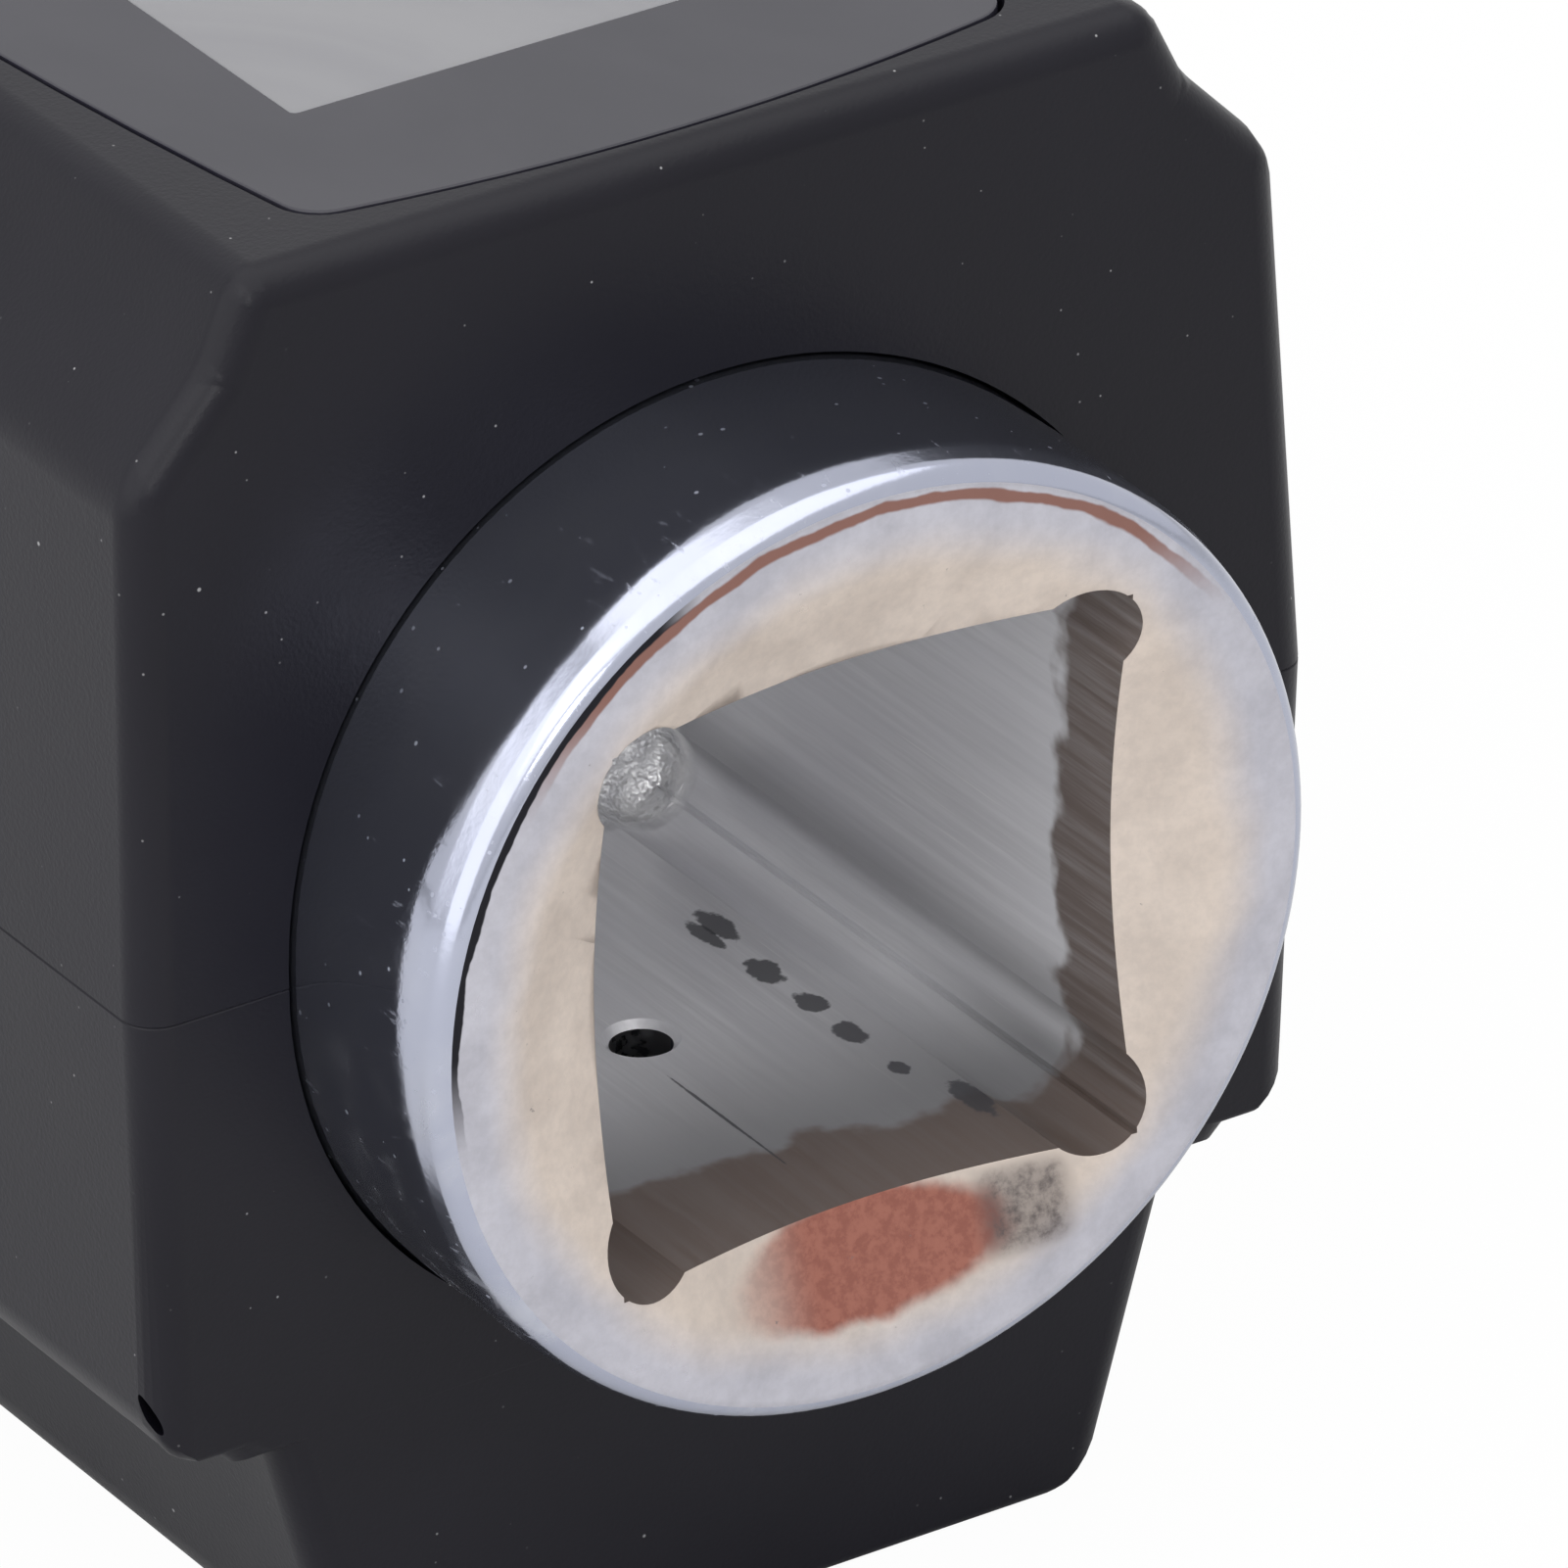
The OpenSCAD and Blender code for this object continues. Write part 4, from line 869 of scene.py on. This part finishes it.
def battery_door():
    """Sliding door: the base's own shape cut to the door, with rails, grip and arrow"""
    plates = joined(block((-11.85, 17.7, -29), (11.85, 81, -26.696)),
                    block((-12.35, 17.7, -27.396), (12.35, 81, -26.696)))
    shape = combined("INTERSECT", hump(), plates)
    grip = [61 + 2.2 * i for i in range(5)]
    grooves = [rod((-7.5, y, BASE_Z - 0.35), (7.5, y, BASE_Z - 0.35), 0.8, steps=24) for y in grip]
    arrow = slab([(-2.6, 54), (2.6, 54), (0, 57.6)], BASE_Z - 1, BASE_Z + 0.3)
    shape = cut(shape, *grooves, arrow)
    return finished("sliding_door", shape, "door", lower_plastic,
                    ["battery_door"], smooth=30, edge=0.12)


def screws():
    head = [(-10.6, 0), (-10.6, 1.3)] + arc(-10.25, 1.4, 0.35, 180, 90, 4)[1:] + [(-9, 1.75), (-9, 0)]
    shank = [(-9.2, 0), (-9.2, 1.15), (4.4, 1.15), (5, 0.6), (5, 0)]
    upright = Matrix.Rotation(math.pi / 2, 4, "X")
    one = joined(lathe(head, 32, upright), lathe(shank, 32, upright))
    cross = [block((-1.05, -0.26, -11), (1.05, 0.26, -9.9)),
             block((-0.26, -1.05, -11), (0.26, 1.05, -9.9))]
    one = cut(one, *cross)
    shape = together(*[moved(one.copy(), (x, y, 0)) for x, y in SCREWS])
    one.free()
    return finished("case_screws", shape, "housing", screw_steel, ["housing_screws"])


# Drive body

def socket_room():
    half = SOCKET / 2
    square = block((-half, -1, -half), (half, SOCKET_END, half))
    soften(square, rim_edges(square, SOCKET_END, 1), 1.3, 4)
    reliefs = []
    for x in (-RELIEF_AT, RELIEF_AT):
        for z in (-RELIEF_AT, RELIEF_AT):
            relief = rod((x, -1, z), (x, SOCKET_END - 0.3, z), RELIEF_R)
            reliefs.append(soften(relief, rim_edges(relief, SOCKET_END - 0.3, 1), 0.8, 4))
    return joined(square, *reliefs)


def drive_body():
    slope = math.tan(math.radians(20))
    rim = arc(0.85, HEAD_R - 1.0, 0.85, 180, 90, 10)
    rim += [(1.3, HEAD_R - 0.045), (1.7, HEAD_R - 0.015), (2.4, HEAD_R)]
    lip = [(0.27, LEAD_IN_R - 0.75), (0.13, LEAD_IN_R - 0.38), (0.04, LEAD_IN_R - 0.05),
           (0, LEAD_IN_R + 0.4)]
    head = [((LEAD_IN_R - r) * slope, r) for r in (0, 6, 8, 10, 11.5)] + lip + rim
    rest = [(HEAD_END - 0.3, HEAD_R), (HEAD_END, HEAD_R - 0.3), (HEAD_END, NECK_R), (34, NECK_R),
            (38.4, SHANK_R), (SHANK_END, SHANK_R), (SHANK_END, FLANGE_R - 0.3), (68.3, FLANGE_R),
            (81.7, FLANGE_R), (FLANGE_END, 13.7), (FLANGE_END, 0)]
    turned = lathe(head + rest, steps=144)
    half = SQUARE / 2
    square = bar([(-half, -half), (half, -half), (half, half), (-half, half)], 80, SQUARE_END)
    corner = [(80, 0), (80, 12.6), (SQUARE_END - 1.4, 12.6)]
    corner += [(SQUARE_END - 1.0, 12.45), (SQUARE_END - 0.2, 11.5), (SQUARE_END, 11.0), (SQUARE_END, 0)]
    square = combined("INTERSECT", square, lathe(corner, steps=144))
    shape = joined(turned, square)
    # Four flats of the shank for the strain gauges, and the notches for the keys of the shells
    flats = []
    for turn in range(4):
        flat = block((-11, 37.6, 9.8), (11, 67.6, 17))
        quarter = Matrix.Rotation(turn * math.pi / 2, 3, "Y")
        bmesh.ops.rotate(flat, verts=flat.verts[:], matrix=quarter)
        flats.append(flat)
    locks = [block((13.3, 70, -15), (17, 74, 15)), block((-17, 70, -15), (-13.3, 74, 15))]
    ball_hole = [rod((0, BALL_Y, 0.5), (0, BALL_Y, 9.0), 2.55),
                 rod((0, BALL_Y, 0.5), (0, BALL_Y, 11), 2.2)]
    pin = [rod((0, PIN_Y, -18), (0, PIN_Y, -6), PIN_R),
           rod((0, PIN_Y, -9.9), (0, PIN_Y, -9.5), PIN_R, tip=1.45)]
    shape = cut(shape, socket_room(), *flats, *locks, *ball_hole, *pin)
    # The edges between the cone and the walls of the square and its reliefs
    mouth = []
    for edge in shape.edges:
        if len(edge.link_faces) == 2 and all(vert.co.y < 4 for vert in edge.verts):
            tilts = sorted(abs(face.normal.y) for face in edge.link_faces)
            if tilts[0] < 0.05 and tilts[1] > 0.9:
                mouth.append(edge)
    soften(shape, mouth, 0.16, 2)
    finishes = [chrome, plated_face, broached, ground_steel]
    for face in shape.faces:
        middle = face.calc_center_median()
        inside = max(abs(middle.x), abs(middle.z)) < 10.3 and middle.y < 30
        if inside and (abs(face.normal.y) < 0.2 or middle.y > 5):
            finish = broached
        elif middle.y < 5 and math.hypot(middle.x, middle.z) < FACE_R:
            finish = plated_face
        elif 14 < middle.y < SHANK_END:
            finish = ground_steel
        else:
            finish = chrome
        face.material_index = finishes.index(finish)
    return finished("drive_body", shape, "housing", finishes, ["torque_body"],
                    smooth=35)


def detent():
    low, high = node_box("detent_ball")
    ball = globe((low + high) / 2, (high.z - low.z) / 2)
    finished("locking_ball", ball, "ball", ball_steel, ["detent_ball"], smooth=80)
    low, high = node_box("detent_spring")
    spring = coil(2.25, 0.27, high.z - low.z, 5.5, low.z)
    moved(spring, (0, BALL_Y, 0))
    spring = finished("ball_spring", spring, "housing", spring_steel,
                      ["detent_spring"], smooth=80)
    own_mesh(spring)


# Display and buttons

def display():
    plate = bowed_slab(15.7, 33.6, 1.6, PANEL_Z, TOP_Z, flare=0.12)
    openings = [rounded_slab(19.2, 30, 0.25, 22, 26, (0, WINDOW_MID)),
                rod((0, LENS_Y, 22), (0, LENS_Y, 26), LENS_HOLE_R, steps=32)]
    openings += [button_outline(name, BUTTON_GAP, 22, 26) for name in BUTTONS]
    finished("gloss_panel", cut(plate, *openings), "housing", panel_print,
             ["display_panel"], smooth=30)
    pane = rounded_slab(19.16, 29.96, 0.24, PANEL_Z, TOP_Z - 0.01, (0, WINDOW_MID))
    soften(pane, rim_edges(pane, TOP_Z - 0.01), 0.09, 2)
    finished("clear_window", pane, "housing", window_tint, ["display_window"])
    lens = [(19.0, 0), (19.0, 1.0), (21.0, 1.0), (21.0, 1.4), (21.8, 1.4), (21.8, 1.0)]
    lens += [(TOP_Z - 0.3, 1.0), (TOP_Z - 0.1, 0.85), (TOP_Z, 0.5), (TOP_Z, 0)]
    upright = Matrix.Translation((0, LENS_Y, 0)) @ Matrix.Rotation(math.pi / 2, 4, "X")
    finished("light_lens", lathe(lens, 40, upright), "housing", lens_red,
             ["status_lens"])


def button_mark(name, low, high):
    """The raised mark of a button, centred on the origin"""
    if name == "minus":
        return block((-0.28, -1.3, low), (0.28, 1.3, high))
    if name == "plus":
        return joined(block((-0.28, -1.3, low), (0.28, 1.3, high)),
                      block((-1.3, -0.28, low), (1.3, 0.28, high)))
    if name == "power":
        ring = bmesh.new()
        side = [ring.verts.new(point) for point in
                ((1.0, 0, low), (1.45, 0, low), (1.45, 0, high), (1.0, 0, high))]
        bmesh.ops.rotate(ring, verts=side, matrix=Matrix.Rotation(math.radians(35), 3, "Z"))
        bmesh.ops.spin(ring, geom=[ring.faces.new(side)], cent=(0, 0, 0), axis=Z,
                       angle=math.radians(290), steps=40, use_duplicate=False)
        bmesh.ops.recalc_face_normals(ring, faces=ring.faces[:])
        return together(ring, block((0.1, -0.22, low), (1.75, 0.22, high)))
    arrows = []
    for side in (-1, 1):
        arrows.append(slab([(side * 0.75, side * 1.7), (side * 0.75 + 0.6, side * 0.7),
                            (side * 0.75 - 0.6, side * 0.7)], low, high))
        arrows.append(block((side * 0.75 - 0.2, min(side * 0.72, side * -1.6), low),
                            (side * 0.75 + 0.2, max(side * 0.72, side * -1.6), high)))
    for arrow in arrows:
        bmesh.ops.recalc_face_normals(arrow, faces=arrow.faces[:])
    return joined(arrows[0], *arrows[1:])


def buttons():
    crown = 0.3
    for name, (x, y) in BUTTONS.items():
        low, high = node_box(name + "_button")
        top = high.z - 0.1
        cap = button_outline(name, 0, low.z, top - crown)
        lid = [face for face in cap.faces if face.normal.z > 0.9]
        bmesh.ops.inset_region(cap, faces=lid, thickness=1.1, depth=0.0, use_even_offset=True)
        lid = [face for face in cap.faces if face.normal.z > 0.9 and len(face.verts) > 8]
        raised = {vert for face in lid for vert in face.verts}
        bmesh.ops.translate(cap, verts=list(raised), vec=(0, 0, crown))
        rim = [edge for edge in cap.edges
               if all(abs(vert.co.z - top + crown) < 1e-3 for vert in edge.verts)
               and abs(edge.calc_face_angle(0)) > 0.4]
        soften(cap, rim, 0.5, 4)
        flange = button_outline(name, 0.7, low.z, low.z + 1.0)
        cap = joined(cap, flange)
        finished(name + "_cap", cap, name, button_plastic, [name + "_button"],
                 smooth=40)
        mark = moved(button_mark(name, top - 0.12, high.z - 0.02), (x, y, 0))
        finished(name + "_mark", mark, name, print_white)


# Cells and contacts

def cells():
    for name, side, nub_first in (("left_cell", -1, True), ("right_cell", 1, False)):
        low, high = node_box(name)
        length = high.y - low.y
        can = [(0, 0), (0, 1.9), (0.8, 1.9), (0.8, 4.7), (1.0, 5.1), (1.5, 5.1), (1.5, CELL_R)]
        can += [(length - 0.9, CELL_R), (length - 0.9, 5.1), (length - 0.4, 5.05),
                (length - 0.15, 4.8), (length - 0.15, 4.2), (length, 3.9), (length, 0)]
        place = Matrix.Translation((side * CELL_X, low.y, CELL_Z))
        if not nub_first:
            half_turn = Matrix.Rotation(math.pi, 4, "Z")
            place = Matrix.Translation((side * CELL_X, high.y, CELL_Z)) @ half_turn
        shape = lathe(can, 64, place)
        for face in shape.faces:
            middle = face.calc_center_median()
            along = middle.y - low.y if nub_first else high.y - middle.y
            face.material_index = 0 if 1.4 < along < length - 0.85 else 1
        finished(name + "_can", shape, "housing", [cell_jacket, contact_plate],
                 [name], smooth=35)


def cell_springs():
    for name, side in (("minus_spring", 1), ("bridge_spring", -1)):
        low, high = node_box(name)
        spring = coil(3.2, 0.3, high.y - low.y, 4.5, 0, tip=2.4)
        turn = Matrix.Rotation(-math.pi / 2 * side, 4, "X")
        start = low.y if side > 0 else high.y
        place = Matrix.Translation((side * CELL_X, start, CELL_Z)) @ turn
        bmesh.ops.transform(spring, verts=spring.verts[:], matrix=place)
        finished(name + "_wire", spring, "housing", spring_steel, [name], smooth=80)


def dress_nodes():
    """The CAD nodes whose shape is right keep it and get their finish"""
    finishes = {
        "strain_gauges": gauge_foil, "gauge_cover": cover_plastic, "gauge_harness": wire_red,
        "gauge_plug": plug_plastic, "panel_adhesive": glue, "lcd_glass": lcd_grey,
        "lcd_frame": white_plastic, "backlight_panel": white_plastic,
        "contact_strips": strip_rubber, "main_board": board_green, "board_screws": ground_steel,
        "measuring_chips": chip_plastic, "board_parts": part_ceramic, "buzzer": chip_plastic,
        "status_led": lens_red, "switch_cases": chip_plastic, "plus_contact": contact_plate,
        "minus_contact": contact_plate, "bridge_contact": contact_plate, "red_lead": wire_red,
        "black_lead": wire_black, "power_plunger": white_plastic, "unit_plunger": white_plastic,
        "plus_plunger": white_plastic, "minus_plunger": white_plastic,
    }
    for name, finish in finishes.items():
        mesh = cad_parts[name].data
        mesh.materials.clear()
        mesh.materials.append(finish)


# Studio

def camera():
    """The camera of the photo, fitted to the circles of the head"""
    lens = bpy.data.cameras.new("camera")
    lens.lens = 455.7
    lens.sensor_width = 36
    lens.clip_start = 0.01
    lens.clip_end = 20
    held = placed("camera", lens)
    right = Vector((0.8397, -0.5429, -0.0151)).normalized()
    back = Vector((-0.4725, -0.7438, 0.4727)).normalized()
    up = back.cross(right).normalized()
    turn = Matrix((up.cross(back).normalized(), up, back)).transposed()
    held.matrix_world = Matrix.Translation(Vector((-294.5, -458.2, 298.1)) * MM) @ turn.to_4x4()
    bpy.context.scene.camera = held


def lamp(name, place, target, size, power):
    light = bpy.data.lights.new(name, "AREA")
    light.shape = "SQUARE"
    light.size = size
    light.energy = power
    held = placed(name, light)
    held.location = place
    held.rotation_euler = (Vector(target) - Vector(place)).to_track_quat("-Z", "Y").to_euler()


def seen(tree, *rays):
    """1 for rays of the named kinds, 0 for all others"""
    path = tree.nodes.new("ShaderNodeLightPath")
    total = path.outputs[rays[0]]
    for name in rays[1:]:
        add = tree.nodes.new("ShaderNodeMath")
        add.operation = "MAXIMUM"
        tree.links.new(total, add.inputs[0])
        tree.links.new(path.outputs[name], add.inputs[1])
        total = add.outputs[0]
    return total


def white_world():
    """Surroundings that look white, and light the object a little less"""
    world = bpy.data.worlds.new("studio")
    bpy.context.scene.world = world
    world.use_nodes = True
    tree = world.node_tree
    background = tree.nodes["Background"]
    background.inputs["Color"].default_value = (1, 1, 1, 1)
    strength = tree.nodes.new("ShaderNodeMapRange")
    white = seen(tree, "Is Camera Ray", "Is Glossy Ray", "Is Transmission Ray")
    tree.links.new(white, strength.inputs["Value"])
    strength.inputs["To Min"].default_value = 0.75
    strength.inputs["To Max"].default_value = 1.0
    tree.links.new(strength.outputs["Result"], background.inputs["Strength"])


def pale_floor():
    """A floor just under the base: almost white to the camera, grey to all other rays"""
    shape = bmesh.new()
    bmesh.ops.create_grid(shape, x_segments=1, y_segments=1, size=6)
    mesh = mesh_of("floor", shape)
    mesh.transform(Matrix.Translation((0, 0, (BASE_Z - 0.02) * MM)))
    floor = placed("floor", mesh)
    paint = bpy.data.materials.new("pale floor")
    paint.use_nodes = True
    tree = paint.node_tree
    diffuse = tree.nodes["Principled BSDF"]
    diffuse.inputs["Base Color"].default_value = (0.7, 0.7, 0.7, 1)
    diffuse.inputs["Roughness"].default_value = 0.9
    diffuse.inputs["Specular IOR Level"].default_value = 0.0
    glow = tree.nodes.new("ShaderNodeEmission")
    both = tree.nodes.new("ShaderNodeMixShader")
    share = tree.nodes.new("ShaderNodeMath")
    share.operation = "MULTIPLY"
    tree.links.new(seen(tree, "Is Camera Ray"), share.inputs[0])
    share.inputs[1].default_value = 0.97
    tree.links.new(share.outputs[0], both.inputs["Fac"])
    tree.links.new(diffuse.outputs[0], both.inputs[1])
    tree.links.new(glow.outputs[0], both.inputs[2])
    tree.links.new(both.outputs[0], tree.nodes["Material Output"].inputs["Surface"])
    mesh.materials.append(paint)


def studio():
    bpy.context.scene.view_settings.view_transform = "Standard"
    white_world()
    pale_floor()
    lamp("overhead softbox", (-0.05, -0.05, 0.6), (0, 0.04, 0), 1.0, 4.0)
    lamp("left softbox", (-0.55, 0.0, 0.25), (0, 0.04, 0), 0.8, 2.4)
    lamp("small box beside the camera", (-0.3, -0.47, 0.305), (0, 0.02, 0), 0.15, 0.5)


camera()
studio()
upper_housing()
lower_housing()
battery_door()
screws()
drive_body()
detent()
display()
buttons()
cells()
cell_springs()
dress_nodes()
